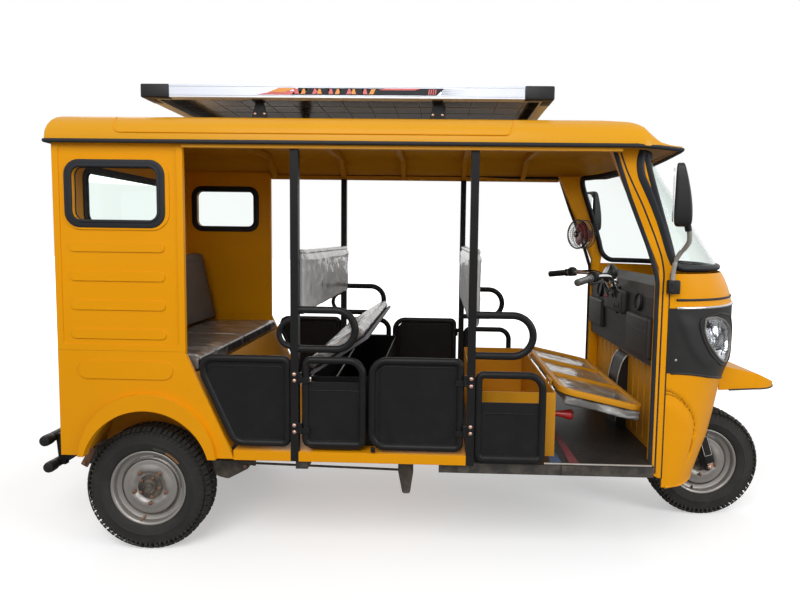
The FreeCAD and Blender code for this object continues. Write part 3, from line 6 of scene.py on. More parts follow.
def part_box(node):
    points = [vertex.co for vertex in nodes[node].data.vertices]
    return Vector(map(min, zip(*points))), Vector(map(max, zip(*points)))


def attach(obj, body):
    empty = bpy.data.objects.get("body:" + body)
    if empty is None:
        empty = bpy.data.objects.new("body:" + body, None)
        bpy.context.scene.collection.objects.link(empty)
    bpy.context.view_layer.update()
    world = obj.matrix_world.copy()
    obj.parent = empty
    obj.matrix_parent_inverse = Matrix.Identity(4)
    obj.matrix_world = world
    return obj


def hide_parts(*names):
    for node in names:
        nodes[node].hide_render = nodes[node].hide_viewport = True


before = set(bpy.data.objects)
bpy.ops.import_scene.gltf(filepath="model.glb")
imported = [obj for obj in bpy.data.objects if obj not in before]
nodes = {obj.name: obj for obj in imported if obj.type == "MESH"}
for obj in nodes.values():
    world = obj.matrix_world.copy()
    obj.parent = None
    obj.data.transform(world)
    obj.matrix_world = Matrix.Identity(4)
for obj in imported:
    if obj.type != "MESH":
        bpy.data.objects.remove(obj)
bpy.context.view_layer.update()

scene = bpy.context.scene
print("frame loaded,", len(nodes), "nodes")


# helpers: meshes, paths, plates, turned forms and shader nodes
def link(obj):
    scene.collection.objects.link(obj)
    return obj


def asPiece(name, mesh, material, body, replaced=(), smooth=42):
    obj = link(bpy.data.objects.new(name, mesh))
    obj.data.materials.clear()
    for one in (material if isinstance(material, (list, tuple)) else [material]):
        obj.data.materials.append(one)
    obj.data.shade_smooth() if smooth else obj.data.shade_flat()
    if smooth and smooth < 180:
        edges = bmesh.new()
        edges.from_mesh(obj.data)
        for edge in edges.edges:
            edge.smooth = not (len(edge.link_faces) == 2 and edge.calc_face_angle(0) > math.radians(smooth))
        edges.to_mesh(obj.data)
        edges.free()
    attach(obj, body)
    if replaced:
        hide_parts(*replaced)
    return obj


def onBody(name, mesh, material, replaced=(), smooth=42):
    return asPiece(name, mesh, material, "body", replaced, smooth)


def finishMesh(bm, name, outward=True):
    bmesh.ops.remove_doubles(bm, verts=bm.verts, dist=1e-5)
    if outward:
        bmesh.ops.recalc_face_normals(bm, faces=bm.faces)
    mesh = bpy.data.meshes.new(name)
    bm.to_mesh(mesh)
    bm.free()
    return mesh


def bevelled(bm, geom, offset, segments=2, affect="EDGES"):
    return bmesh.ops.bevel(bm, geom=geom, offset=offset, segments=segments, affect=affect,
                           profile=0.5, material=-1)


def softened(bm, offset, segments=2):
    sharp = [e for e in bm.edges if len(e.link_faces) == 2 and e.calc_face_angle(0) > 1.0]
    bevelled(bm, sharp, offset, segments)


def pushedOut(bm, push):
    # flat faces made solid along a way
    solid = bmesh.ops.extrude_face_region(bm, geom=bm.faces[:])
    bmesh.ops.translate(bm, vec=push, verts=[g for g in solid["geom"] if isinstance(g, bmesh.types.BMVert)])
    bmesh.ops.recalc_face_normals(bm, faces=bm.faces)


def ringSolid(bm, width, push, soften):
    # a flat face made a closed ring: inset, its middle taken out, pushed out and softened
    inset = bmesh.ops.inset_region(bm, faces=bm.faces[:], thickness=width, use_even_offset=True,
                                   use_boundary=True)
    bmesh.ops.delete(bm, geom=[f for f in bm.faces if f not in inset["faces"]], context="FACES")
    pushedOut(bm, push)
    softened(bm, soften)


def cutAt(bm, place, way):
    bmesh.ops.bisect_plane(bm, geom=bm.verts[:] + bm.edges[:] + bm.faces[:], dist=1e-6,
                           plane_co=place, plane_no=way)


def nodeMesh(node):
    # a CAD node's skin with its doubled vertices joined
    bm = bmesh.new()
    bm.from_mesh(nodes[node].data)
    bmesh.ops.remove_doubles(bm, verts=bm.verts, dist=2e-5)
    return bm


def baked(obj):
    # the mesh that an object's modifiers make of it, and the object removed
    made = bpy.data.meshes.new_from_object(obj.evaluated_get(bpy.context.evaluated_depsgraph_get()))
    bpy.data.objects.remove(obj)
    return made


def joined(meshes, name):
    bm = bmesh.new()
    for mesh in meshes:
        bm.from_mesh(mesh)
    return finishMesh(bm, name, False)


def moved(mesh, matrix):
    copy = mesh.copy()
    copy.transform(matrix)
    if matrix.determinant() < 0:
        copy.flip_normals()
    return copy


def bothSides(mesh, name):
    return joined([mesh, moved(mesh, Matrix.Scale(-1, 4, (0, 1, 0)))], name)


def blockMesh(low, high, soften=0.0, segments=2):
    bm = bmesh.new()
    bmesh.ops.create_cube(bm, size=1)
    low, high = Vector(low), Vector(high)
    bmesh.ops.scale(bm, vec=high - low, verts=bm.verts)
    bmesh.ops.translate(bm, vec=(low + high) / 2, verts=bm.verts)
    if soften:
        bevelled(bm, bm.edges[:], soften, segments)
    return finishMesh(bm, "block")


def pathEdges(points, corner, closed, segments=6):
    bm = bmesh.new()
    verts = [bm.verts.new(p) for p in points]
    for a, b in zip(verts, verts[1:]):
        bm.edges.new((a, b))
    if closed:
        bm.edges.new((verts[-1], verts[0]))
    turning = verts if closed else verts[1:-1]
    if corner and turning:
        bevelled(bm, turning, corner, segments, "VERTICES")
    return bm


def edgesToPipe(bm, radius, ring=4):
    # an edge path becomes a curve, and the curve a capped tube
    mesh = bpy.data.meshes.new("path")
    bm.to_mesh(mesh)
    bm.free()
    obj = link(bpy.data.objects.new("path", mesh))
    bpy.ops.object.select_all(action="DESELECT")
    obj.select_set(True)
    bpy.context.view_layer.objects.active = obj
    bpy.ops.object.convert(target="CURVE")
    curve = bpy.context.view_layer.objects.active
    curve.data.dimensions = "3D"
    curve.data.bevel_depth, curve.data.bevel_resolution = radius, ring
    curve.data.use_fill_caps = True
    return baked(curve)


def thickened(mesh, name, amount, offset=-1.0):
    obj = link(bpy.data.objects.new(name, mesh))
    wall = obj.modifiers.new("wall", "SOLIDIFY")
    wall.thickness, wall.offset, wall.use_even_offset = amount, offset, True
    return baked(obj)


def pipe(points, radius, corner=0.0, closed=False, ring=4, segments=6):
    return edgesToPipe(pathEdges([Vector(p) for p in points], corner, closed, segments), radius, ring)


def sliceLoop(node, height, normal=(0, 0, 1)):
    # the edges where a level plane cuts a CAD node, such as a panel's outer skin
    bm = nodeMesh(node)
    geom = bm.verts[:] + bm.edges[:] + bm.faces[:]
    bmesh.ops.bisect_plane(bm, geom=geom, dist=1e-6, plane_co=Vector(normal) * height, plane_no=normal,
                           clear_inner=True, clear_outer=True)
    bmesh.ops.remove_doubles(bm, verts=bm.verts, dist=1e-4)
    return bm


def roundedRect(low, high, corner, segments=6):
    # a flat face in the XZ plane at y = 0
    bm = bmesh.new()
    corners = [(low[0], 0, low[1]), (high[0], 0, low[1]), (high[0], 0, high[1]), (low[0], 0, high[1])]
    face = bm.faces.new([bm.verts.new(p) for p in corners])
    if corner:
        bevelled(bm, list(face.verts), corner, segments, "VERTICES")
    return bm


def frameRing(low, high, corner, width, depth, soften=0.002):
    bm = roundedRect(low, high, corner, 7)
    ringSolid(bm, width, (0, -depth, 0), soften)
    return finishMesh(bm, "ring")


def plate(points, thickness, soften=0.001, corner=0.0, segments=4):
    # a plate cut to an outline of points and thickened along its normal
    bm = bmesh.new()
    face = bm.faces.new([bm.verts.new(p) for p in points])
    if corner:
        bevelled(bm, list(face.verts), corner, segments, "VERTICES")
    bm.faces.ensure_lookup_table()
    bm.normal_update()
    pushedOut(bm, bm.faces[0].normal * thickness)
    if soften:
        softened(bm, soften, 1)
    return finishMesh(bm, "plate")


def lathe(profile, steps=48, axis=(0, 1, 0), centre=(0, 0, 0)):
    # profile of (radius, along) turned about the axis, closed where it meets it
    axis = Vector(axis).normalized()
    side = axis.orthogonal().normalized()
    bm = bmesh.new()
    verts = [bm.verts.new(Vector(centre) + axis * along + side * radius) for radius, along in profile]
    for a, b in zip(verts, verts[1:]):
        bm.edges.new((a, b))
    bmesh.ops.spin(bm, geom=bm.verts[:] + bm.edges[:], cent=centre, axis=axis, angle=math.tau, steps=steps,
                   use_merge=True)
    return finishMesh(bm, "lathe")


def turned(mesh, angle, axis, centre=(0, 0, 0)):
    spin = Matrix.Rotation(angle, 4, Vector(axis))
    spin = Matrix.Translation(centre) @ spin @ Matrix.Translation(-Vector(centre))
    return moved(mesh, spin)


def pointing(mesh, way, place):
    # a mesh made along +Y is laid along another direction
    lie = Vector(way).to_track_quat("Y", "Z").to_matrix().to_4x4()
    return moved(mesh, Matrix.Translation(place) @ lie)


def addNode(tree, kind, inputs=(), **settings):
    node = tree.nodes.new(kind)
    for key, value in settings.items():
        setattr(node, key, value)
    for key, value in dict(inputs).items():
        if isinstance(value, bpy.types.NodeSocket):
            tree.links.new(value, node.inputs[key])
        else:
            node.inputs[key].default_value = value
    return node


def newGroup(name, inputs, outputs):
    group = bpy.data.node_groups.new(name, "ShaderNodeTree")
    for label, kind, value in inputs:
        socket = group.interface.new_socket(label, in_out="INPUT", socket_type="NodeSocket" + kind)
        socket.default_value = value
    for label, kind in outputs:
        group.interface.new_socket(label, in_out="OUTPUT", socket_type="NodeSocket" + kind)
    return group, addNode(group, "NodeGroupInput").outputs, addNode(group, "NodeGroupOutput").inputs


def spread(tree, value, low, high, a=0.0, b=1.0):
    return addNode(tree, "ShaderNodeMapRange", {0: value, 1: low, 2: high, 3: a, 4: b}).outputs[0]


def maths(tree, how, a, b=0.0, clamp=True):
    return addNode(tree, "ShaderNodeMath", {0: a, 1: b}, operation=how, use_clamp=clamp).outputs[0]


def blendColour(tree, share, a, b, how="MIX"):
    node = addNode(tree, "ShaderNodeMix", data_type="RGBA", blend_type=how)
    for key, value in ((0, share), (6, a), (7, b)):
        if isinstance(value, bpy.types.NodeSocket):
            tree.links.new(value, node.inputs[key])
        else:
            node.inputs[key].default_value = value
    return node.outputs[2]


def noise(tree, where, scale, detail=4.0, rough=0.55, stretch=None):
    if stretch:
        where = addNode(tree, "ShaderNodeMapping", {0: where, 3: stretch}).outputs[0]
    return addNode(tree, "ShaderNodeTexNoise", {"Vector": where, "Scale": scale, "Detail": detail,
                                                 "Roughness": rough}).outputs["Fac"]


def buildSurfaceGroup():
    # tone drift, settled dust, fine unevenness and softened edges, shared by the hard finishes
    group, take, give = newGroup("surfaceFinish", [
        ("Colour", "Color", (0.5, 0.5, 0.5, 1)), ("Shade", "Color", (0.4, 0.4, 0.4, 1)),
        ("Dust", "Color", (0.35, 0.3, 0.24, 1)), ("Dust amount", "Float", 0.2),
        ("Roughness", "Float", 0.4), ("Grain scale", "Float", 300.0), ("Grain", "Float", 0.1),
        ("Edge round", "Float", 0.002)], [("Colour", "Color"), ("Roughness", "Float"), ("Normal", "Vector")])
    where = addNode(group, "ShaderNodeTexCoord").outputs["Object"]
    drift = spread(group, noise(group, where, 1.6, 3), 0.35, 0.7)
    tone = blendColour(group, maths(group, "MULTIPLY", drift, 0.5), take["Colour"], take["Shade"])
    height = addNode(group, "ShaderNodeSeparateXYZ", {0: where}).outputs[2]
    low = spread(group, height, 0.15, 0.95, 1.0, 0.12)
    up = addNode(group, "ShaderNodeSeparateXYZ",
                 {0: addNode(group, "ShaderNodeNewGeometry").outputs["Normal"]}).outputs[2]
    ledge = spread(group, up, 0.35, 0.95, 0.0, 0.5)
    patchy = spread(group, noise(group, where, 14.0, 8, 0.65), 0.42, 0.72)
    dusty = maths(group, "MULTIPLY", maths(group, "ADD", maths(group, "MULTIPLY", low, patchy), ledge, False),
                  take["Dust amount"])
    group.links.new(blendColour(group, dusty, tone, take["Dust"]), give["Colour"])
    fine = noise(group, where, 60.0, 6, 0.6)
    rough = maths(group, "ADD", take["Roughness"], spread(group, fine, 0.3, 0.7, -0.05, 0.06), False)
    rough = maths(group, "ADD", rough, maths(group, "MULTIPLY", dusty, 0.35))
    group.links.new(rough, give["Roughness"])
    soft = addNode(group, "ShaderNodeBevel", {"Radius": take["Edge round"]}, samples=4).outputs[0]
    grain = addNode(group, "ShaderNodeTexNoise",
                    {"Vector": where, "Scale": take["Grain scale"], "Detail": 2.0}).outputs["Fac"]
    bump = addNode(group, "ShaderNodeBump", {"Strength": take["Grain"], "Distance": 0.0006, "Height": grain,
                                              "Normal": soft}).outputs[0]
    group.links.new(bump, give["Normal"])
    return group


def buildWearGroup():
    # a mask that is high on rubbed edges and in scattered scratches
    group, take, give = newGroup("edgeWear", [("Radius", "Float", 0.004), ("Amount", "Float", 0.5)],
                                 [("Mask", "Float")])
    where = addNode(group, "ShaderNodeTexCoord").outputs["Object"]
    soft = addNode(group, "ShaderNodeBevel", {"Radius": take["Radius"]}, samples=4).outputs[0]
    plain = addNode(group, "ShaderNodeNewGeometry").outputs["Normal"]
    same = addNode(group, "ShaderNodeVectorMath", {0: soft, 1: plain},
                   operation="DOT_PRODUCT").outputs["Value"]
    edge = spread(group, same, 0.995, 0.86)
    broken = spread(group, noise(group, where, 55.0, 6, 0.7), 0.5, 0.62)
    scratch = spread(group, noise(group, where, 26.0, 8, 0.8, (1, 1, 7)), 0.69, 0.73, 0.0, 0.6)
    worn = maths(group, "ADD", maths(group, "MULTIPLY", edge, broken), scratch)
    group.links.new(maths(group, "MULTIPLY", worn, take["Amount"]), give["Mask"])
    return group


def buildFilmGroup():
    # crumpled clear film: long soft folds with sharp creases, and a crease mask that the seats use to paint
    # the film's highlights
    group, take, give = newGroup("crumpledFilm", [("Scale", "Float", 9.0), ("Stretch", "Vector", (1, 1, 1))],
                                 [("CreaseSheen", "Float"), ("Height", "Float")])
    where = addNode(group, "ShaderNodeTexCoord").outputs["Object"]
    bent = addNode(group, "ShaderNodeTexNoise",
                   {"Vector": where, "Scale": 5.0, "Detail": 2.0}).outputs["Color"]
    swung = addNode(group, "ShaderNodeMix", {0: 0.16, 4: where, 5: bent}, data_type="VECTOR").outputs[1]
    laid = addNode(group, "ShaderNodeVectorMath", {0: swung, 1: take["Stretch"]},
                   operation="MULTIPLY").outputs[0]
    cells = addNode(group, "ShaderNodeTexVoronoi",
                    {"Vector": laid, "Scale": take["Scale"], "Randomness": 1.0},
                    feature="DISTANCE_TO_EDGE").outputs["Distance"]
    fold = addNode(group, "ShaderNodeTexNoise", {"Vector": laid, "Scale": take["Scale"], "Detail": 5.0,
                                                  "Distortion": 1.2}).outputs["Fac"]
    crease = spread(group, cells, 0.0, 0.07, 1.0, 0.0)
    patch = spread(group, fold, 0.46, 0.7)
    group.links.new(maths(group, "MULTIPLY", maths(group, "ADD", crease, patch), patch), give["CreaseSheen"])
    group.links.new(maths(group, "ADD", maths(group, "MULTIPLY", cells, 1.5), fold, False), give["Height"])
    return group


surfaceGroup, wearGroup, filmGroup = buildSurfaceGroup(), buildWearGroup(), buildFilmGroup()


def startMaterial(name):
    material = bpy.data.materials.new(name)
    material.use_nodes = True
    tree = material.node_tree
    tree.nodes.clear()
    shader = addNode(tree, "ShaderNodeBsdfPrincipled")
    addNode(tree, "ShaderNodeOutputMaterial", {"Surface": shader.outputs[0]})
    return material, tree, shader


def rgba(colour, alpha=1.0):
    return tuple(colour) + (alpha,)


def hardFinish(name, colour, shade, rough, dust=0.15, grainScale=300.0, grain=0.12, metal=0.0, coat=0.0,
               edge=0.0018, dustColour=(0.33, 0.27, 0.2), worn=0.0, wornColour=(0.2, 0.19, 0.18),
               specular=0.5):
    material, tree, shader = startMaterial(name)
    finish = addNode(tree, "ShaderNodeGroup", node_tree=surfaceGroup)
    values = {"Colour": rgba(colour), "Shade": rgba(shade), "Dust": rgba(dustColour), "Dust amount": dust,
              "Roughness": rough, "Grain scale": grainScale, "Grain": grain, "Edge round": edge}
    for key, value in values.items():
        finish.inputs[key].default_value = value
    base = finish.outputs["Colour"]
    if worn:
        wear = addNode(tree, "ShaderNodeGroup", {"Amount": worn, "Radius": 0.0035}, node_tree=wearGroup)
        base = blendColour(tree, wear.outputs["Mask"], base, rgba(wornColour))
    tree.links.new(base, shader.inputs["Base Color"])
    tree.links.new(finish.outputs["Roughness"], shader.inputs["Roughness"])
    tree.links.new(finish.outputs["Normal"], shader.inputs["Normal"])
    shader.inputs["Metallic"].default_value = metal
    shader.inputs["Coat Weight"].default_value = coat
    shader.inputs["Coat Roughness"].default_value = 0.08
    shader.inputs["Specular IOR Level"].default_value = specular
    return material


def clearFinish(name, colour, rough, ior=1.45):
    material, tree, shader = startMaterial(name)
    where = addNode(tree, "ShaderNodeTexCoord").outputs["Object"]
    smear = spread(tree, noise(tree, where, 6.0, 5), 0.4, 0.75, rough, rough + 0.08)
    tree.links.new(smear, shader.inputs["Roughness"])
    shader.inputs["Base Color"].default_value = rgba(colour)
    shader.inputs["Transmission Weight"].default_value = 1.0
    shader.inputs["IOR"].default_value = ior
    return material


def seatFinish(name, colour, shade, film=0.0, scale=9.0, stretch=(1, 1, 1)):
    # grained seat cloth, under clear film where film is above zero, with the film's highlights painted on as
    # pale streaks along its creases
    material, tree, shader = startMaterial(name)
    where = addNode(tree, "ShaderNodeTexCoord").outputs["Object"]
    grain = addNode(tree, "ShaderNodeTexVoronoi", {"Vector": where, "Scale": 420.0}).outputs["Distance"]
    tone = blendColour(tree, spread(tree, noise(tree, where, 3.0, 5), 0.35, 0.7), rgba(colour), rgba(shade))
    rough = spread(tree, grain, 0.0, 0.6, 0.55, 0.7)
    low = addNode(tree, "ShaderNodeBump", {"Strength": 0.25, "Distance": 0.0006, "Height": grain}).outputs[0]
    if film:
        folds = addNode(tree, "ShaderNodeGroup", {"Scale": scale, "Stretch": stretch}, node_tree=filmGroup)
        sheenMask = maths(tree, "MULTIPLY", folds.outputs["CreaseSheen"], film)
        # painted highlight: the film's pale streaks mixed into the cloth's colour
        tone = blendColour(tree, sheenMask, tone, (0.72, 0.72, 0.7, 1))
        rough = maths(tree, "SUBTRACT", 0.34, maths(tree, "MULTIPLY", sheenMask, 0.16))
        low = addNode(tree, "ShaderNodeBump", {"Strength": 0.55, "Distance": 0.006,
                                                "Height": folds.outputs["Height"], "Normal": low}).outputs[0]
        shader.inputs["Coat Weight"].default_value = 0.8
        shader.inputs["Coat Roughness"].default_value = 0.09
    tree.links.new(tone, shader.inputs["Base Color"])
    tree.links.new(rough, shader.inputs["Roughness"])
    tree.links.new(low, shader.inputs["Normal"])
    return material


# finishes: colour, its darker shade, roughness, then dust, grain, metal, wear and edge rounding
yellowPaint = hardFinish("yellowPaint", (0.80, 0.325, 0.0012), (0.73, 0.288, 0.001), 0.34, dust=0.05,
                         grainScale=220.0, grain=0.05, coat=0.04, edge=0.0035, dustColour=(0.5, 0.25, 0.06),
                         specular=0.14)
# a darker, browner copy of the yellow paint for the parts inside the cab: its darkness is painted shade
innerShadePaint = hardFinish("innerYellowPaintShaded", (0.62, 0.27, 0.012), (0.5, 0.215, 0.012), 0.42, dust=0.12,
                        grainScale=220.0, grain=0.08, coat=0.03, edge=0.003, specular=0.16)
# the roof's copy of the yellow paint, less red and with more blue: painted sheen of the roof's lit top
roofSheenPaint = hardFinish("roofYellowPaintedSheen", (0.70, 0.325, 0.012), (0.64, 0.29, 0.01), 0.34, dust=0.05,
                       grainScale=220.0,
                       grain=0.05, coat=0.04, edge=0.0035, dustColour=(0.5, 0.25, 0.06), specular=0.14)
blackFrame = hardFinish("blackFramePaint", (0.011, 0.011, 0.012), (0.016, 0.016, 0.016), 0.36, dust=0.03,
                        grainScale=260.0, grain=0.1, edge=0.002, specular=0.14, worn=0.25,
                        wornColour=(0.09, 0.085, 0.08))
blackUnder = hardFinish("dustyUnderPaint", (0.02, 0.019, 0.018), (0.03, 0.026, 0.022), 0.55, dust=0.4,
                        grainScale=160.0, grain=0.4, worn=0.6, wornColour=(0.16, 0.075, 0.035))
noseBlack = hardFinish("noseBlack", (0.019, 0.019, 0.019), (0.024, 0.024, 0.024), 0.42, dust=0.04,
                       grainScale=900.0, grain=0.3, edge=0.003, specular=0.2)
rubberBlack = hardFinish("rubberBlack", (0.011, 0.013, 0.017), (0.017, 0.019, 0.023), 0.5, dust=0.06,
                         grainScale=500.0, grain=0.2, edge=0.0015, specular=0.25)
dashPlastic = hardFinish("dashPlastic", (0.030, 0.027, 0.026), (0.04, 0.036, 0.034), 0.5, dust=0.1,
                         grainScale=1100.0, grain=0.35, edge=0.003, specular=0.25)
blackPlastic = hardFinish("blackPlastic", (0.011, 0.011, 0.012), (0.017, 0.017, 0.018), 0.42, dust=0.06,
                          grainScale=1200.0, grain=0.3, edge=0.0015, specular=0.25)
tyreRubber = hardFinish("tyreRubber", (0.019, 0.019, 0.018), (0.034, 0.032, 0.029), 0.72, dust=0.25,
                        grainScale=700.0, grain=0.4, edge=0.0012, dustColour=(0.1, 0.085, 0.072),
                        specular=0.3)
wheelSilver = hardFinish("wheelSilver", (0.35, 0.335, 0.32), (0.26, 0.245, 0.23), 0.38, dust=0.3,
                         grainScale=180.0, grain=0.12, metal=0.55, edge=0.0025, worn=0.3,
                         wornColour=(0.2, 0.16, 0.13),
                         dustColour=(0.2, 0.17, 0.14))
ironBlack = hardFinish("castIron", (0.02, 0.018, 0.017), (0.035, 0.03, 0.026), 0.6, dust=0.5,
                       grainScale=130.0,
                       grain=0.6, worn=0.7, wornColour=(0.13, 0.06, 0.03))
rustyBolt = hardFinish("rustyBolt", (0.26, 0.14, 0.09), (0.18, 0.085, 0.05), 0.5, dust=0.2, grainScale=400.0,
                       grain=0.5, metal=0.5)
copperBolt = hardFinish("copperBolt", (0.62, 0.4, 0.32), (0.5, 0.3, 0.24), 0.3, dust=0.08, metal=0.75,
                        grain=0.1)
zincSteel = hardFinish("zincSteel", (0.42, 0.4, 0.37), (0.3, 0.28, 0.25), 0.35, dust=0.25, metal=0.8,
                       grain=0.2)
brightChrome = hardFinish("brightChrome", (0.72, 0.72, 0.73), (0.62, 0.62, 0.63), 0.1, dust=0.05, metal=1.0,
                          grain=0.02)
aluRail = hardFinish("aluminiumRail", (0.66, 0.70, 0.78), (0.6, 0.64, 0.72), 0.34, dust=0.0, grainScale=90.0,
                     grain=0.02, metal=0.2, edge=0.0)
fanWhite = hardFinish("fanWhite", (0.7, 0.7, 0.68), (0.6, 0.6, 0.57), 0.35, dust=0.1)
redPlastic = hardFinish("redPlastic", (0.55, 0.018, 0.015), (0.45, 0.012, 0.012), 0.3, dust=0.06, grain=0.1,
                        coat=0.4)
fanRed = hardFinish("fanRed", (0.36, 0.01, 0.02), (0.28, 0.01, 0.015), 0.28, dust=0.06, coat=0.3)
stemGrey = hardFinish("stemGrey", (0.38, 0.37, 0.34), (0.28, 0.27, 0.25), 0.4, dust=0.25, grainScale=120.0,
                      grain=0.4,
                      metal=0.3)
batteryBlack = hardFinish("batteryBlack", (0.02, 0.02, 0.021), (0.03, 0.03, 0.031), 0.45, dust=0.3)
windowGlass = clearFinish("windowGlass", (0.93, 0.98, 0.96), 0.0, 1.12)
lensClear = clearFinish("lensClear", (0.97, 0.98, 1.0), 0.02, 1.3)
greyCloth = seatFinish("greySeatCloth", (0.165, 0.145, 0.13), (0.13, 0.115, 0.105))
# seat finishes under film, each with the film's highlights painted into its colour
filmedSeat = seatFinish("greySeatUnderFilm", (0.17, 0.15, 0.138), (0.12, 0.108, 0.1), 0.7, 7.0,
                        (0.6, 1.8, 1.4))
filmedEdge = seatFinish("blackEdgeUnderFilm", (0.014, 0.014, 0.015), (0.022, 0.021, 0.021), 0.35, 7.0,
                        (0.6, 1.8, 1.4))
# backrests under film: their light grey is mostly painted reflection of the film over darker grey cloth
filmSheenBack = seatFinish("greyBackPaintedFilmSheen", (0.45, 0.45, 0.44), (0.34, 0.34, 0.335), 0.7, 6.0, (1, 1.1, 0.9))
filmWrap = seatFinish("cushionUnderFilm", (0.17, 0.165, 0.155), (0.1, 0.095, 0.09), 0.95, 8.0,
                      (0.8, 1.0, 1.6))
filmedBoard = seatFinish("boardsUnderFilm", (0.2, 0.185, 0.15), (0.15, 0.135, 0.11), 0.8, 7.0,
                         (1.0, 0.8, 1.0))
matRed = hardFinish("matRed", (0.16, 0.012, 0.03), (0.12, 0.01, 0.022), 0.55, dust=0.15, grainScale=900.0,
                    grain=0.3)
matBlue = hardFinish("matBlue", (0.016, 0.075, 0.19), (0.014, 0.06, 0.15), 0.55, dust=0.15,
                     grainScale=900.0, grain=0.3)
gripGrey = hardFinish("gripUnderFilm", (0.09, 0.085, 0.08), (0.05, 0.05, 0.048), 0.3, dust=0.1,
                      grainScale=300.0, grain=0.4,
                      coat=0.5)
rustyPlate = hardFinish("rustyPlate", (0.20, 0.085, 0.04), (0.11, 0.05, 0.03), 0.65, dust=0.3, grain=0.5,
                        grainScale=160.0)
faintOrange = hardFinish("faintOrange", (0.34, 0.14, 0.035), (0.16, 0.075, 0.03), 0.6, dust=0.3, grain=0.3,
                         grainScale=400.0)
faintGreen = hardFinish("faintGreen", (0.035, 0.042, 0.03), (0.028, 0.032, 0.026), 0.6, dust=0.2, grain=0.3,
                        grainScale=400.0)
lampChrome = hardFinish("lampChrome", (0.62, 0.63, 0.65), (0.5, 0.51, 0.53), 0.12, dust=0.0, metal=1.0,
                        grain=0.02)
cellBrown = hardFinish("cellBrown", (0.045, 0.037, 0.034), (0.06, 0.052, 0.048), 0.22, dust=0.1, coat=0.25,
                       grain=0.03)
gridWhite = hardFinish("gridWhite", (0.62, 0.62, 0.6), (0.5, 0.5, 0.48), 0.4, dust=0.1, grain=0.02)
stripeOrange = hardFinish("stripeOrange", (0.75, 0.28, 0.03), (0.65, 0.22, 0.02), 0.35, dust=0.05, grain=0.02)
lampGrey = hardFinish("lampGrey", (0.22, 0.2, 0.18), (0.14, 0.13, 0.12), 0.4, dust=0.1, grain=0.3)
dialFace = hardFinish("dialFace", (0.02, 0.021, 0.023), (0.03, 0.031, 0.034), 0.12, dust=0.05, coat=0.8,
                      grain=0.02)
print("materials made")

# the photograph's fitted camera, soft lamps, a white backdrop and a pale floor
view = {"place": (0.0665, -2.8614, 1.3695), "yaw": 0.0279, "pitch": 0.0734, "roll": 0.0137,
        "lens": 25.5645, "shift": (-0.03025, -0.025)}


def setCamera():
    data = bpy.data.cameras.new("camera")
    data.sensor_width = 36
    data.lens = view["lens"]
    data.shift_x, data.shift_y = view["shift"]
    yaw, pitch, roll = view["yaw"], view["pitch"], view["roll"]
    ahead = Vector((-math.sin(yaw) * math.cos(pitch), math.cos(yaw) * math.cos(pitch), -math.sin(pitch)))
    right = Vector((math.cos(yaw), math.sin(yaw), 0))
    up = right.cross(ahead)
    tiltedRight = math.cos(roll) * right + math.sin(roll) * up
    tiltedUp = math.cos(roll) * up - math.sin(roll) * right
    pose = Matrix((tiltedRight, tiltedUp, -ahead)).transposed().to_4x4()
    obj = link(bpy.data.objects.new("camera", data))
    obj.matrix_world = Matrix.Translation(view["place"]) @ pose
    scene.camera = obj


lamps = {"key": ((-0.8, -4.6, 4.4), 3.6, 190.0), "front": ((5.2, -3.0, 2.8), 2.6, 125.0),
         "far": ((-3.0, 4.5, 3.6), 3.5, 40.0)}


def setStudio():
    for name, (place, size, power) in lamps.items():
        data = bpy.data.lights.new(name, "AREA")
        data.size, data.energy = size, power
        lamp = link(bpy.data.objects.new(name, data))
        aim = Vector((0, 0, 0.9)) - Vector(place)
        lamp.matrix_world = Matrix.Translation(place) @ aim.to_track_quat("-Z", "Y").to_matrix().to_4x4()
    world = bpy.data.worlds.new("studio")
    scene.world = world
    world.use_nodes = True
    tree = world.node_tree
    tree.nodes.clear()
    rays = addNode(tree, "ShaderNodeLightPath").outputs
    seen = maths(tree, "ADD", maths(tree, "ADD", rays["Is Camera Ray"], rays["Is Glossy Ray"]),
                 rays["Is Transmission Ray"])
    colour = blendColour(tree, seen, (0.42, 0.425, 0.43, 1), (1, 1, 1, 1))
    back = addNode(tree, "ShaderNodeBackground", {"Color": colour, "Strength": 1.0})
    addNode(tree, "ShaderNodeOutputWorld", {"Surface": back.outputs[0]})
    bm = bmesh.new()
    bmesh.ops.create_grid(bm, x_segments=1, y_segments=1, size=30)
    floor = link(bpy.data.objects.new("floor", finishMesh(bm, "floor", False)))
    material, tree, shader = startMaterial("paleFloor")
    rays = addNode(tree, "ShaderNodeLightPath").outputs
    # seen by the camera the floor is pale and fades to white, and it throws less light back up
    pale = blendColour(tree, rays["Is Camera Ray"], (0.42, 0.41, 0.4, 1), (0.86, 0.86, 0.86, 1))
    tree.links.new(pale, shader.inputs["Base Color"])
    where = addNode(tree, "ShaderNodeTexCoord").outputs["Object"]
    away = addNode(tree, "ShaderNodeVectorMath", {0: where}, operation="LENGTH").outputs["Value"]
    glow = spread(tree, away, 2.2, 6.5, 0.36, 1.2)
    shader.inputs["Roughness"].default_value = 0.9
    shader.inputs["Specular IOR Level"].default_value = 0.1
    shader.inputs["Emission Color"].default_value = (1, 1, 1, 1)
    tree.links.new(maths(tree, "MULTIPLY", rays["Is Camera Ray"], glow, False),
                   shader.inputs["Emission Strength"])
    floor.data.materials.append(material)
    scene.view_settings.view_transform = "Standard"


setCamera()
setStudio()
print("camera and studio set")

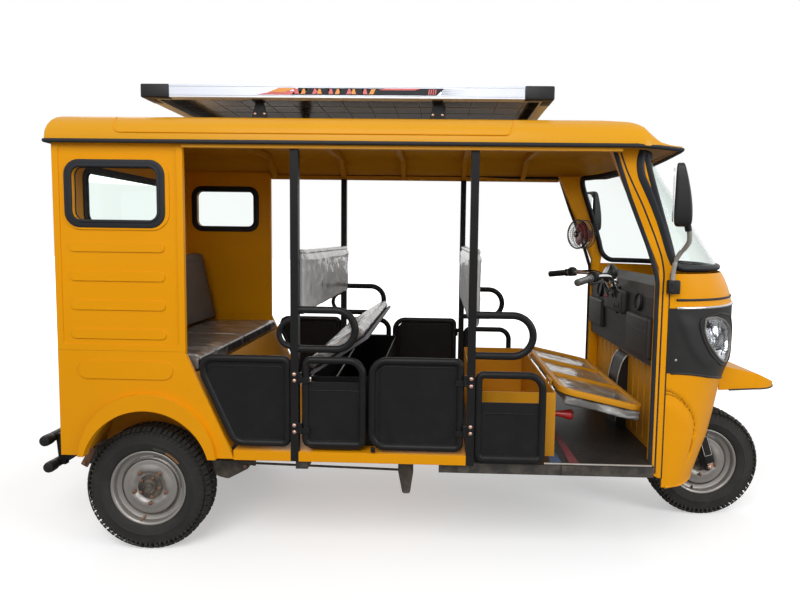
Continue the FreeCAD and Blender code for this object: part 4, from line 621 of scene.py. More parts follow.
# each CAD node's own finish
nodeFinish = {
    yellowPaint: ["roof_shell", "rear_side_left", "rear_side_right", "rear_quarter_left",
                  "rear_quarter_right",
                  "rear_wall", "cab_pillars", "scuttle", "front_cowl", "mudguard", "passenger_floor"],
    # the parts inside the cab take the yellow paint's copy darkened by painted shade
    innerShadePaint: ["rear_seat_box", "roof_frame", "driver_seat_box", "bulkhead"],
    blackFrame: ["side_frames", "middle_seat_box", "rear_guards", "front_guards", "rear_door_left",
                 "rear_door_right",
                 "front_door_left", "front_door_right", "solar_brackets", "rear_bumper"],
    blackUnder: ["chassis", "leaf_springs", "brake_linkage"],
    ironBlack: ["rear_axle", "drive_motor"],
    noseBlack: ["nose_band"],
    dashPlastic: ["dashboard"],
    batteryBlack: ["battery_pack"],
    zincSteel: ["seat_stay"],
    windowGlass: ["windscreen"],
    fanWhite: ["fan_cage"],
    fanRed: ["fan_blades"],
    redPlastic: ["tail_lamps"],
    aluRail: ["solar_panel"],
    brightChrome: ["handlebar", "headlamps"],
    blackPlastic: ["cab_floor", "fork", "mirrors"],
}


def finishNodes():
    for material, names in nodeFinish.items():
        for name in names:
            obj = nodes[name]
            if not obj.material_slots:
                obj.data.materials.append(material)
            for one in obj.material_slots:
                one.material = material


finishNodes()

# wheels: tyre with tread, pressed rim, hub, nuts and blank sidewall patches
wheel = {"radius": 0.270, "pitches": 72, "steps": 96,
         "sidewall": [(0.2605, 0.0), (0.2600, 0.020), (0.2575, 0.036), (0.2500, 0.047), (0.2440, 0.0505),
                      (0.2360, 0.0535), (0.2350, 0.0525), (0.2180, 0.0562), (0.2050, 0.0565),
                      (0.2040, 0.0572),
                      (0.2020, 0.0572), (0.2010, 0.0560), (0.1880, 0.0530), (0.1780, 0.0490),
                      (0.1760, 0.0478),
                      (0.1745, 0.0478), (0.1700, 0.0440), (0.1680, 0.0400), (0.1574, 0.0392)]}
wheelPlaces = {"rearLeft": ((-1.186, 0.461, 0.270), 1, "rear_wheel_left", "rear_tyre_left", "rear_rim_left"),
               "rearRight": ((-1.186, -0.461, 0.270), -1, "rear_wheel_right", "rear_tyre_right",
                             "rear_rim_right"),
               "front": ((1.397, 0.0, 0.270), -1, "front_wheel", "front_tyre", "front_rim")}


def treadBlock(low, high, tilt, radius, sideways, soften=0.0012):
    block = blockMesh((low[0], low[1], -0.006), (high[0], high[1], 0.0), soften, 1)
    return moved(block, Matrix.Translation((0, sideways, radius)) @ Matrix.Rotation(tilt, 4, "X"))


def makeTyre(name):
    profile = wheel["sidewall"]
    ring = [(r, -y) for r, y in reversed(profile[1:])] + profile
    carcass = lathe(ring + [ring[0]], wheel["steps"])
    step = math.tau / wheel["pitches"]
    long = wheel["radius"] * step
    blocks = [treadBlock((-long * 0.40, -0.013), (long * 0.40, 0.011), -0.62, 0.2655, 0.0455),
              treadBlock((-long * 0.36, -0.0095), (long * 0.46, 0.0095), -0.08, 0.2692, 0.0215),
              treadBlock((-long * 0.46, -0.0065), (long * 0.30, 0.0065), 0.0, 0.2695, 0.0025),
              treadBlock((-long * 0.40, -0.011), (long * 0.40, 0.013), 0.62, 0.2655, -0.0455),
              treadBlock((-long * 0.46, -0.0095), (long * 0.36, 0.0095), 0.08, 0.2692, -0.0215)]
    lugs = blockMesh((-long * 0.2, -0.0015, -0.010), (long * 0.2, 0.0, 0.010), 0.0006, 1)
    for side in (-1, 1):
        lug = moved(lugs,
                    Matrix.Translation((0, side * 0.0532, 0.2425)) @ Matrix.Rotation(-side * 0.36, 4, "X"))
        blocks.append(lug)
    onePitch = joined(blocks, "pitch")
    parts = [carcass]
    for i in range(wheel["pitches"]):
        offset = 0.5 * step if i % 2 else 0.42 * step
        parts.append(turned(onePitch, i * step + offset, (0, 1, 0)))
    return joined(parts, name)


# profiles of (radius, out from the wheel's middle)
rimShape = [(0.1665, 0.0425), (0.1650, 0.0440), (0.1600, 0.0436), (0.1560, 0.0405), (0.1535, 0.0370),
            (0.1525, 0.0280), (0.1515, 0.0170), (0.1420, 0.0120), (0.1330, 0.0110), (0.1322, -0.0080),
            (0.1420, -0.0150), (0.1520, -0.0200), (0.1530, -0.0370), (0.1600, -0.0436), (0.1665, -0.0425)]
discShape = [(0.1325, 0.0120), (0.1270, 0.0190), (0.1190, 0.0235), (0.1120, 0.0250), (0.1040, 0.0240),
             (0.0960, 0.0262), (0.0860, 0.0300), (0.0760, 0.0305), (0.0690, 0.0270), (0.0640, 0.0215),
             (0.0560, 0.0190), (0.0400, 0.0190)]


def makeRim(name):
    barrel = lathe(rimShape, 72)
    bm = bmesh.new()
    bm.from_mesh(lathe(discShape, 60))
    for vert in bm.verts:   # five pressed hollows round the bolts
        radius = math.hypot(vert.co.x, vert.co.z)
        turn = math.atan2(vert.co.x, vert.co.z)
        dish = math.cos(lugCircle["count"] * (turn - lugCircle["start"]))
        dish *= math.exp(-((radius - lugCircle["outer"]) / 0.0125) ** 2)
        vert.co.y -= 0.0075 * max(0.0, dish)
    bm.from_mesh(barrel)
    shell = bpy.data.meshes.new(name)
    bm.to_mesh(shell)
    bm.free()
    return thickened(shell, name, 0.003)


def nutMesh(radius, height, sides=6):
    bm = bmesh.new()
    bmesh.ops.create_cone(bm, cap_ends=True, segments=sides, radius1=radius, radius2=radius, depth=height)
    bevelled(bm, bm.edges[:], radius * 0.12)
    bmesh.ops.rotate(bm, cent=(0, 0, 0), matrix=Matrix.Rotation(-math.pi / 2, 3, "X"), verts=bm.verts)
    bmesh.ops.translate(bm, vec=(0, height / 2, 0), verts=bm.verts)
    return finishMesh(bm, "nut")


def domeMesh(radius, height):
    curve = [(0.0, height), (radius * 0.35, height * 0.95), (radius * 0.7, height * 0.72),
             (radius * 0.93, height * 0.35),
             (radius, height * 0.05), (radius * 0.98, 0.0), (0.0, 0.0)]
    return lathe(curve, 16)


def makeHub(name, drum):
    hub = lathe([(0.0, 0.0400), (0.0130, 0.0400), (0.0150, 0.0380), (0.0270, 0.0370), (0.0300, 0.0340),
                 (0.0330, 0.0280), (0.0500, 0.0270), (0.0530, 0.0255), (0.0535, 0.0190), (0.0430, -0.0400),
                 (drum, -0.0420), (drum, -0.0470), (0.0130, -0.0470), (0.0, -0.0470)], 40)
    cap = [moved(nutMesh(0.0042, 0.004),
                 Matrix.Translation((0.0235 * math.cos(a), 0.0362, 0.0235 * math.sin(a))))
           for a in (math.tau * i / 6 for i in range(6))]
    return joined([hub] + cap, name)


# the five wheel nuts: their circle, and the smaller bolts' circle, place and lag behind them
lugCircle = {"count": 5, "start": 0.63, "outer": 0.0735, "inner": 0.0445, "lag": 0.25}


def onCircle(mesh, radius, turn, out):
    return moved(mesh, Matrix.Translation((radius * math.sin(turn), out, radius * math.cos(turn))))


def makeLugs(name):
    parts = []
    nut = joined([nutMesh(0.0092, 0.011),
                  lathe([(0.0, 0.019), (0.0045, 0.019), (0.0048, 0.0), (0.0, 0.0)], 10)], "lug")
    small = joined([nutMesh(0.0078, 0.009),
                    lathe([(0.0, 0.013), (0.0038, 0.013), (0.0040, 0.0), (0.0, 0.0)], 10)], "bolt")
    for i in range(lugCircle["count"]):
        turn = math.tau * i / lugCircle["count"] + lugCircle["start"]
        parts.append(onCircle(nut, lugCircle["outer"], turn, 0.0210))
        parts.append(onCircle(small, lugCircle["inner"], turn + lugCircle["lag"], 0.0262))
    valve = pointing(lathe([(0.0, 0.030), (0.003, 0.030), (0.0035, 0.018), (0.0045, 0.016), (0.0045, 0.0),
                            (0.0, 0.0)], 10),
                     (0.25, 0.75, -0.3), (0.03, 0.012, -0.1385))
    return joined(parts + [valve], name)


patchShape = [(0.1765, 0.0490), (0.1820, 0.0512), (0.1872, 0.0533)]
# a thin dark ring on the rim where its disc meets the barrel: painted shadow of that gap, with dirt
rimDirtShadeRingShape = [(0.1258, 0.0207), (0.1225, 0.0227), (0.1192, 0.0241)]
patchSpans = {"PatchDark": (9, 27, faintGreen), "PatchPale": (27.5, 50, faintOrange)}


def sidewallPatch(low, high, name):
    # a blank printed patch round part of the sidewall, clockwise from the top
    bm = bmesh.new()
    rows, steps = [], 16
    for k in range(steps + 1):
        turn = math.radians(low + (high - low) * k / steps)
        rows.append([bm.verts.new((-r * math.sin(turn), y, r * math.cos(turn))) for r, y in patchShape])
    for a, b in zip(rows, rows[1:]):
        for i in range(len(patchShape) - 1):
            bm.faces.new((a[i], a[i + 1], b[i + 1], b[i]))
    bmesh.ops.recalc_face_normals(bm, faces=bm.faces)
    return thickened(finishMesh(bm, name, False), name, 0.0008, 0.0)


def makeWheels():
    tyreMesh, rimMesh = makeTyre("tyre"), makeRim("rim")
    lugs = makeLugs("lugs")
    for name, (place, side, body, tyreNode, rimNode) in wheelPlaces.items():
        spin = Matrix.Translation(place) @ Matrix.Rotation(0.0 if side > 0 else math.pi, 4, "Z")
        hub = makeHub("hub", 0.042 if name == "front" else 0.044)
        asPiece(name + "Tyre", moved(tyreMesh, spin), tyreRubber, body, [tyreNode], 35)
        asPiece(name + "Rim", moved(rimMesh, spin), wheelSilver, body, [rimNode], 50)
        # dark ring on the rim: painted shadow of the disc's gap, with dirt
        groove = thickened(lathe(rimDirtShadeRingShape, 72), "groove", 0.0016, 0.0)
        asPiece(name + "RimDirtShadeRing", moved(groove, spin), ironBlack, body, (), 50)
        asPiece(name + "Hub", moved(hub, spin), ironBlack, body, (), 40)
        asPiece(name + "Lugs", moved(lugs, spin), rustyBolt, body, (), 40)
        if name != "front":
            for word, (low, high, finish) in patchSpans.items():
                patch = moved(sidewallPatch(low, high, "patch"), spin)
                asPiece(name + word, patch, finish, body, (), 60)


makeWheels()
print("wheels made")


def smoothStep(value, low, high):
    t = min(1.0, max(0.0, (value - low) / (high - low)))
    return t * t * (3 - 2 * t)


# the cab's nose in plan: half its width, where its sides end, how far its tip stands, and its seam's height
nose = {"half": 0.5307, "side": 1.0023, "tip": 1.448, "seam": 1.097, "mean": 0.49}


def noseX(y, z):
    # the cab's front skin as the source lofts it, to lay trim on
    profile = scuttleBack if z > nose["seam"] else noseBack
    z = min(max(z, profile[0][0]), profile[-1][0])
    for (z0, b0), (z1, b1) in zip(profile, profile[1:]):
        if z <= z1:
            back = b0 + (b1 - b0) * (z - z0) / (z1 - z0)
            break
    share = min(1.0, abs(y) / nose["half"])
    return nose["side"] + (nose["tip"] - back - nose["side"]) * math.sqrt(max(0.0, 1 - share * share))


# height, and how far the nose's tip stands back there
noseBack = [(0.345, 0.178), (0.430, 0.138), (0.520, 0.098), (0.610, 0.074), (0.692, 0.056), (0.752, 0.042),
            (0.806, 0.019), (0.832, 0.007), (0.856, 0.001), (0.982, 0.0), (1.097, 0.0)]
scuttleBack = [(1.0973, 0.0), (1.1213, 0.008), (1.1483, 0.016), (1.1733, 0.026), (1.2083, 0.044),
               (1.2383, 0.065)]
# the windscreen's height, and its side and middle ahead of the post's foot
screen = [(1.252, 0.060, 0.418), (1.272, 0.057, 0.404), (1.355, 0.036, 0.344), (1.439, 0.012, 0.280),
          (1.482, -0.002, 0.245), (1.525, -0.017, 0.209), (1.612, -0.048, 0.136), (1.698, -0.076, 0.066),
          (1.7367, -0.088, 0.034)]


def noseLine(z, reach=0.53, steps=40, proud=0.0):
    points = []
    for i in range(steps + 1):
        turn = -math.pi / 2 + math.pi * i / steps
        y = reach * math.sin(turn)
        points.append((noseX(y, z) + proud, y, z))
    return points


def reshaped(node, move):
    # a solid's own skin with its edge drawn to the photographed line
    mesh = nodes[node].data.copy()
    for vert in mesh.vertices:
        vert.co = move(vert.co.copy())
    return mesh


# the visor's plan and fall: the solid's outline, the photographed one, and the height left at a
# distance from the brim
visor = {"pivot": 0.800, "lip": 1.749,
         "was": [(0.800, 0.622), (0.920, 0.622), (0.951, 0.6165), (0.978, 0.600), (0.996, 0.580),
                 (1.0046, 0.5628),
                 (1.0537, 0.45), (1.095, 0.32), (1.1232, 0.18), (1.136, 0.0)],
         "now": [(0.800, 0.622), (0.860, 0.6165), (0.950, 0.567), (1.034, 0.520), (1.048, 0.40),
                 (1.064, 0.28),
                 (1.078, 0.15), (1.088, 0.0)],
         "fall": [(0.0, 0.02), (0.030, 0.06), (0.047, 0.16), (0.080, 0.42), (0.120, 0.52), (0.190, 0.77),
                  (0.260, 1.0)]}


def alongTable(table, value):
    if value <= table[0][0]:
        return table[0][1]
    for (a, b), (c, d) in zip(table, table[1:]):
        if value <= c:
            return b + (d - b) * (value - a) / (c - a)
    return table[-1][1]


def reachOf(outline, way):
    # how far an outline lies from the pivot along a direction
    for (x0, y0), (x1, y1) in zip(outline, outline[1:]):
        x0, x1 = x0 - visor["pivot"], x1 - visor["pivot"]
        a, b = way[0] * y0 - way[1] * x0, way[0] * y1 - way[1] * x1
        if a >= 0 >= b and a > b:
            t = a / (a - b)
            return math.hypot(x0 + (x1 - x0) * t, y0 + (y1 - y0) * t)
    return math.hypot(outline[-1][0] - visor["pivot"], outline[-1][1])


def visorMove(co):
    dx, dy = co.x - visor["pivot"], abs(co.y)
    far = math.hypot(dx, dy)
    if dx <= 0 or far < 1e-6:
        return co
    way = (dx / far, dy / far)
    was, now = reachOf(visor["was"], way), reachOf(visor["now"], way)
    scale = 1 + (now / was - 1) * (far / was) ** 2
    co.x, co.y = visor["pivot"] + dx * scale, co.y * scale
    if co.z > visor["lip"]:
        left = alongTable(visor["fall"], now - far * scale)
        ahead = smoothStep(co.x, 0.82, 0.98)
        co.z = visor["lip"] + (co.z - visor["lip"]) * (1 + (left - 1) * ahead)
    return co


def roofSkin():
    bm = nodeMesh("roof_shell")
    for k in range(18):
        cutAt(bm, (0.78 + 0.02 * k, 0, 0), (1, 0, 0))
    for v in bm.verts:
        v.co = visorMove(v.co)
    # the roof's skin takes the yellow paint's copy with painted sheen
    onBody("roofSkin", finishMesh(bm, "roof", False), roofSheenPaint, ["roof_shell"], 40)


roofSkin()


# roof: edge bead and pressed lines
roof = {"bead": 0.0085, "press": 0.0035, "half": 0.622, "roll": 0.118, "rise": 0.102, "proud": 0.0005,
        "slice": 1.7375, "beadHeight": 1.7365}


def roofCurve(t):
    # the rolled side of the roof at an angle up from the gutter
    return roof["half"] - roof["roll"] * (1 - math.cos(t)), visor["lip"] + roof["rise"] * math.sin(t)


def keepOuterLoop(bm):
    # a slice through a shell gives an outer and an inner loop
    left, loops = set(bm.verts), []
    while left:
        stack = [left.pop()]
        group = list(stack)
        while stack:
            vert = stack.pop()
            for edge in vert.link_edges:
                other = edge.other_vert(vert)
                if other in left:
                    left.remove(other)
                    stack.append(other)
                    group.append(other)
        loops.append(group)
    widest = max(loops, key=lambda group: max(v.co.y for v in group))
    bmesh.ops.delete(bm, geom=[v for group in loops if group is not widest for v in group], context="VERTS")


def roofTrim():
    bm = sliceLoop("roof_shell", roof["slice"])
    keepOuterLoop(bm)
    for v in bm.verts:
        v.co = visorMove(v.co)
        v.co.z = roof["beadHeight"]
    onBody("roofEdgeBead", edgesToPipe(bm, roof["bead"], 2), rubberBlack)
    low, high = math.asin(0.023 / roof["rise"]), math.asin(0.089 / roof["rise"])
    half = (low + high) / 2
    path = []
    for x, t in ((-1.250, high), (-1.238, half), (-1.227, low), (-0.8, low), (-0.2, low), (0.331, low),
                 (0.341, half), (0.350, high)):
        y, z = roofCurve(t)
        path.append((x, y + roof["proud"], z + roof["proud"]))
    lines = [pipe([(x, side * y, z) for x, y, z in path], roof["press"], 0.02, False, 2) for side in (-1, 1)]
    onBody("roofPressedLines", joined(lines, "lines"), yellowPaint)


roofTrim()


# the windows' rubbers: their spans, heights, walls' faces and the lip inside the outer rubber
window = {"side": (-1.451, -1.039), "rear": (-0.433, 0.433), "height": (1.394, 1.667),
          "lip": (0.021, 0.020, 0.019),
          "outer": (0.062, 0.033, 0.0065), "inner": (0.046, 0.012, 0.010), "soften": 0.003,
          "sideFaces": (0.5965, 0.5815), "rearFaces": (-1.4965, -1.4805), "paneInset": 0.029,
          "paneHeight": (1.422, 1.640), "pane": 0.003, "panePlaces": (0.590, -1.489)}


def windowRings(low, high):
    (z0, z1), (inX, inLow, inHigh) = window["height"], window["lip"]
    spans = (((low, z0), (high, z1), window["outer"]),
             ((low + inX, z0 + inLow), (high - inX, z1 - inHigh), window["inner"]))
    return [frameRing(a, b, corner, width, out, window["soften"]) for a, b, (corner, width, out) in spans]


def windowPane(low, high):
    z0, z1 = window["paneHeight"]
    low, high = low + window["paneInset"], high - window["paneInset"]
    return plate([(low, 0, z0), (high, 0, z0), (high, 0, z1), (low, 0, z1)], window["pane"], 0)


def windowTrim():
    rings, panes = [], []
    outer, inner = window["sideFaces"]
    paneSide, paneRear = window["panePlaces"]
    for side in (-1, 1):
        for ring in windowRings(*window["side"]):
            for y, way in ((outer, -side), (inner, side)):
                rings.append(moved(ring,
                                   Matrix.Translation((0, side * y, 0)) @ Matrix.Scale(way, 4, (0, 1, 0))))
        panes.append(moved(windowPane(*window["side"]), Matrix.Translation((0, side * paneSide, 0))))
    for ring in windowRings(*window["rear"]):
        for x, turn in zip(window["rearFaces"], (-math.pi / 2, math.pi / 2)):
            rings.append(moved(ring, Matrix.Translation((x, 0, 0)) @ Matrix.Rotation(turn, 4, "Z")))
    rear = moved(windowPane(*window["rear"]), Matrix.Rotation(math.pi / 2, 4, "Z"))
    panes.append(moved(rear, Matrix.Translation((paneRear, 0, 0))))
    onBody("windowRubbers", joined(rings, "rubbers"), rubberBlack, (), 30)
    onBody("sideWindowPanes", joined(panes, "panes"), windowGlass, (), 0)


windowTrim()


# hinge bolts and door beads
hingeBolts = {"pillar1": (-0.520, (0.811, 0.784, 0.599, 0.570)),
              "pillar2": (0.199, (0.806, 0.775, 0.608, 0.580)),
              "radius": 0.0085, "height": 0.005}


def boltSet():
    dome = domeMesh(hingeBolts["radius"], hingeBolts["height"])
    domes = []
    for key in ("pillar1", "pillar2"):
        x, heights = hingeBolts[key]
        for z in heights:
            for side in (-1, 1):
                y = 0.6045 if 0.79 < z < 0.83 or 0.58 < z < 0.62 else 0.6005
                domes.append(pointing(dome, (0, side, 0), (x, side * y, z)))
    onBody("hingeBolts", joined(domes, "domes"), copperBolt, (), 40)


boltSet()


def sheetPress(points, side, y, radius, corner):
    return pipe([(x, side * y, z) for x, z in points], radius, corner, True, 2)


doorPress = {"rear_door": [(-0.478, 0.500), (-0.240, 0.500), (-0.240, 0.742), (-0.478, 0.742)],
             "front_door": [(-0.172, 0.516), (0.160, 0.516), (0.160, 0.846), (-0.172, 0.846)],
             "rear_guards": [(-0.758, 0.520), (-0.565, 0.526), (-0.565, 0.838), (-0.872, 0.838),
                             (-0.895, 0.790), (-0.790, 0.550)],
             "front_guards": [(0.236, 0.462), (0.492, 0.462), (0.492, 0.662), (0.236, 0.662)]}


def doorBeads():
    for key, outline in doorPress.items():
        for side, word in ((1, "left"), (-1, "right")):
            outer = sheetPress(outline, side, 0.5872, 0.0026, 0.030)
            inner = sheetPress(outline, side, 0.5828, 0.0026, 0.030)
            door = "door" in key
            body = key + "_" + word if door else "body"
            asPiece(key + "Press" + word.capitalize(), joined([outer, inner], "press"), blackFrame, body,
                    (), 40)


doorBeads()
print("roof, window and door trim made")


# glazing rubber, cab posts and the nose's trim lines
postFoot = 0.956


def screenEdge(z):
    for (z0, s0, f0), (z1, s1, f1) in zip(screen, screen[1:]):
        if z <= z1:
            t = (z - z0) / (z1 - z0)
            return postFoot + s0 + (s1 - s0) * t, postFoot + f0 + (f1 - f0) * t
    return postFoot + screen[-1][1], postFoot + screen[-1][2]


# the solid's own middle at each height
screenFront = {1.252: 0.388, 1.272: 0.376, 1.355: 0.328, 1.439: 0.278, 1.482: 0.244, 1.525: 0.209,
               1.612: 0.136,
               1.698: 0.070, 1.7367: 0.034}


def screenMove(co):
    # the solid's bulge taken to the photographed one
    heights = sorted(screenFront)
    z = min(max(co.z, heights[0]), heights[-1] - 1e-6)
    side, front = screenEdge(z)
    for z0, z1 in zip(heights, heights[1:]):
        if z < z1:
            was = postFoot + screenFront[z0] + (screenFront[z1] - screenFront[z0]) * (z - z0) / (z1 - z0)
            break
    if co.x > side:
        co.x = side + (co.x - side) * (front - side) / (was - side)
    return co


onBody("screenShell", reshaped("windscreen", screenMove), windowGlass, ["windscreen"], 40)


def screenPoint(turn, z, proud=0.0):
    side, front = screenEdge(z)
    return (side + (front - side + proud) * math.cos(turn), (0.4887 + proud) * math.sin(turn), z)


def screenLoop(low, high, bend):
    # round the opening: along the foot, up one side, back over the head and down the other
    side, flat = math.pi / 2, bend / 0.40
    steps = [(side - flat) * (k / 10 - 1) for k in range(21)]
    corner = [(side - flat * (1 - math.sin(a)), bend * (1 - math.cos(a)))
              for a in (side * k / 6 for k in range(7))]
    rise = [low + bend + (high - low - 2 * bend) * k / 7 for k in range(1, 7)]
    half = [(t, low) for t in steps] + [(t, low + up) for t, up in corner] + [(side, z) for z in rise]
    half += [(t, high - up) for t, up in reversed(corner)] + [(-t, high) for t in steps]
    half += [(-t, high - up) for t, up in corner] + [(-side, z) for z in reversed(rise)]
    return half + [(-t, low + up) for t, up in reversed(corner)]


def postStrip(points, side, radius, out=0.45):
    # a strip with an oval section on the post's outer face
    tube = pipe([(x, 0, z) for x, z in points], radius, 0.02, False, 3)
    return moved(tube, Matrix.Translation((0, side * 0.5292, 0)) @ Matrix.Scale(out, 4, (0, 1, 0)))


postLines = {"door": ([(0.760, 1.732), (0.8255, 1.548), (0.9084, 1.348), (0.9313, 1.2805), (0.9523, 1.213),
                       (0.953, 0.404)], 0.0095),
             "groove": ([(0.780, 1.733), (0.8093, 1.654), (0.8382, 1.5946), (0.8817, 1.5085),
                         (0.9334, 1.3885),
                         (0.9636, 1.3081), (0.9766, 1.2405), (0.9746, 1.1793), (0.9740, 0.404)], 0.0055),
             "lap": ([(0.884, 1.722), (0.905, 1.640), (0.932, 1.552), (0.958, 1.470), (0.984, 1.390),
                      (1.004, 1.322), (1.012, 1.285)], 0.0125),
             "screen": ([(0.872, 1.732), (0.861, 1.690), (0.868, 1.632), (0.893, 1.582), (0.925, 1.516),
                         (0.956, 1.442),
                         (0.979, 1.375), (0.998, 1.318), (1.016, 1.278)], 0.0165)}


def screenTrim():
    loop = [screenPoint(turn, z) for turn, z in screenLoop(1.2585, 1.7280, 0.065)]
    parts = [pipe(loop, 0.0145, 0, True, 3)]
    for side in (-1, 1):
        for points, radius in postLines.values():
            parts.append(postStrip(points, side, radius))
    onBody("screenRubber", joined(parts, "rubber"), rubberBlack, (), 40)
    joints = [pipe([(1.0018, side * 0.5305, z) for z in (0.385, 1.24)], 0.0028, 0, False, 2)
              for side in (-1, 1)]
    onBody("noseSideSeams", joined(joints, "seams"), rubberBlack, (), 40)
    black = pipe(noseLine(1.1315, 0.5295, 40, 0.0005), 0.0052, 0, False, 2)
    onBody("noseBlackLine", black, rubberBlack, (), 40)
    bright = pipe(noseLine(1.0990, 0.5295, 40, 0.0010), 0.0062, 0, False, 3)
    onBody("noseBrightStrip", bright, brightChrome, (), 40)


screenTrim()


def noseNormal(y, z):
    # outward, square to the nose's skin in plan
    front = noseX(0, z) - nose["side"]
    return Vector(((noseX(y, z) - nose["side"]) / front ** 2, y / nose["half"] ** 2, 0)).normalized()


def beside(path, u, z):
    # how far a place lies from a path that runs down, above zero on the cab's side of it
    best = None
    for (u0, z0), (u1, z1) in zip(path, path[1:]):
        du, dz = u1 - u0, z1 - z0
        along = min(1.0, max(0.0, ((u - u0) * du + (z - z0) * dz) / (du * du + dz * dz)))
        ou, oz = u - u0 - along * du, z - z0 - along * dz
        gap = math.copysign(math.hypot(ou, oz), du * oz - dz * ou)
        if best is None or abs(gap) < abs(best):
            best = gap
    return best


def around(y):
    # length round the nose from its tip, at its mean radius
    return nose["mean"] * math.asin(min(1.0, abs(y) / nose["half"]))


creasePath = [(around(y), z) for y, z in ((0.529, 1.060), (0.5265, 1.009), (0.522, 0.953), (0.516, 0.911),
                                          (0.507, 0.882), (0.491, 0.848), (0.468, 0.815))]
crescentRows = [(0.5306, 0.767), (0.5287, 0.751), (0.5207, 0.726), (0.5077, 0.687), (0.4917, 0.645),
                (0.4797, 0.602), (0.4757, 0.563), (0.4777, 0.4885), (0.4867, 0.437)]
crescentPath = [(around(y), z) for y, z in crescentRows]


def bandRelief(y, z):
    # a crease swept down the band, steep on the cab's side
    gap = -beside(creasePath, around(y), z)
    ends = smoothStep(z, 0.815, 0.87) * (1 - smoothStep(z, 1.02, 1.085))
    return 0.0050 * ends * smoothStep(gap, -0.004, 0.009) * (1 - smoothStep(gap, 0.014, 0.110))


def cowlRelief(y, z):
    # a crescent pressed in, deepest along its front edge
    gap = beside(crescentPath, around(y), z)
    ends = smoothStep(z, 0.42, 0.49) * (1 - smoothStep(z, 0.745, 0.770))
    width = 0.030 + 0.045 * smoothStep(z, 0.47, 0.66)
    return -0.0075 * ends * smoothStep(gap, -0.002, 0.008) * (1 - smoothStep(gap, 0.012, width))


def carved(node, low, high, relief):
    # the solid's own skin, cut fine where the relief lies and pushed along its normal
    bm = nodeMesh(node)
    planes = [((0, side * nose["half"] * math.sin(math.radians(turn)), 0), (0, 1, 0)) for side in (-1, 1)
              for turn in range(46, 90, 2)]
    rows = int((high - low) / 0.009)
    planes += [((0, 0, low + (high - low) * k / rows), (0, 0, 1)) for k in range(rows + 1)]
    for place, way in planes:
        cutAt(bm, place, way)
    for v in bm.verts:
        lift = relief(v.co.y, v.co.z)
        if lift:
            v.co += noseNormal(v.co.y, v.co.z) * lift
    return finishMesh(bm, node + "Carved", False)


def arcOf(y):
    # length round the nose from its tip, used as the sheet's flat measure
    return nose["half"] * math.asin(max(-1.0, min(1.0, y / nose["half"])))


def acrossOf(s):
    return nose["half"] * math.sin(s / nose["half"])


def noseAt(s, z, proud=0.0):
    y = acrossOf(s)
    point = Vector((noseX(y, z), y, z))
    return point + noseNormal(y, z) * proud if proud else point


def flatLoop(bm, points, bend):
    # a closed loop of edges in the sheet's flat measure, its corners bent
    verts = [bm.verts.new((s, z, 0)) for s, z in points]
    edges = [bm.edges.new((a, b)) for a, b in zip(verts, verts[1:] + verts[:1])]
    if bend:
        made = bevelled(bm, verts, bend, 5, "VERTICES")
        edges = list({e for v in made["verts"] for e in v.link_edges} | {e for e in edges if e.is_valid})
    return edges


def flatSheet(loops, cell):
    # the flat sheet between an outline and its openings, cut into cells
    bm = bmesh.new()
    for points, bend in loops:
        flatLoop(bm, points, bend)
    bmesh.ops.triangle_fill(bm, use_beauty=True, edges=bm.edges[:], normal=(0, 0, 1))
    for axis in (0, 1):
        low, high = min(v.co[axis] for v in bm.verts), max(v.co[axis] for v in bm.verts)
        count = max(1, round((high - low) / cell))
        for k in range(1, count):
            place, way = [0, 0, 0], [0, 0, 0]
            place[axis], way[axis] = low + (high - low) * k / count, 1
            cutAt(bm, place, way)
    return bm


def laid(bm, proud, relief=None):
    # the flat sheet wrapped on the nose
    for v in bm.verts:
        s, z = v.co.x, v.co.y
        lift = proud(s, z) if callable(proud) else proud
        if relief:
            lift += relief(acrossOf(s), z)
        v.co = noseAt(s, z, lift)
    for face in bm.faces:
        face.normal_update()
    bmesh.ops.recalc_face_normals(bm, faces=bm.faces)
    if sum(f.normal.x * f.calc_area() for f in bm.faces) < 0:
        bmesh.ops.reverse_faces(bm, faces=bm.faces)
    return bm


# outlines on the nose as (y, z): the band's lower edge, the lamps' surround and their glass
bandDip = [(-0.5303, 0.829), (-0.528, 0.829), (-0.474, 0.805), (-0.413, 0.788), (-0.318, 0.766),
           (-0.160, 0.748),
           (0.0, 0.742)]
lampOuter = [(-0.502, 1.050), (-0.440, 1.076), (-0.340, 1.052), (-0.266, 0.980), (-0.262, 0.900),
             (-0.330, 0.846),
             (-0.404, 0.838), (-0.468, 0.900), (-0.494, 0.980)]
lampInner = [(-0.486, 1.056), (-0.450, 1.056), (-0.401, 1.036), (-0.336, 0.995), (-0.305, 0.940),
             (-0.325, 0.885),
             (-0.364, 0.853), (-0.390, 0.856), (-0.424, 0.877), (-0.454, 0.915), (-0.476, 0.956),
             (-0.487, 1.000)]


lampShift = -0.018


def flatPoints(points, side=1, shift=0.0):
    return [(arcOf(side * y) + side * shift, z) for y, z in points]


def mirroredPath(half):
    return half + [(-y, z) for y, z in reversed(half[:-1])]


def finePath(path, steps):
    fine = []
    for (y0, z0), (y1, z1) in zip(path, path[1:]):
        fine += [(y0 + (y1 - y0) * k / steps, z0 + (z1 - z0) * k / steps) for k in range(steps)]
    return fine + [path[-1]]


def noseEdge(points, inset):
    return [(noseX(y, z) + inset, y, z) for y, z in points]


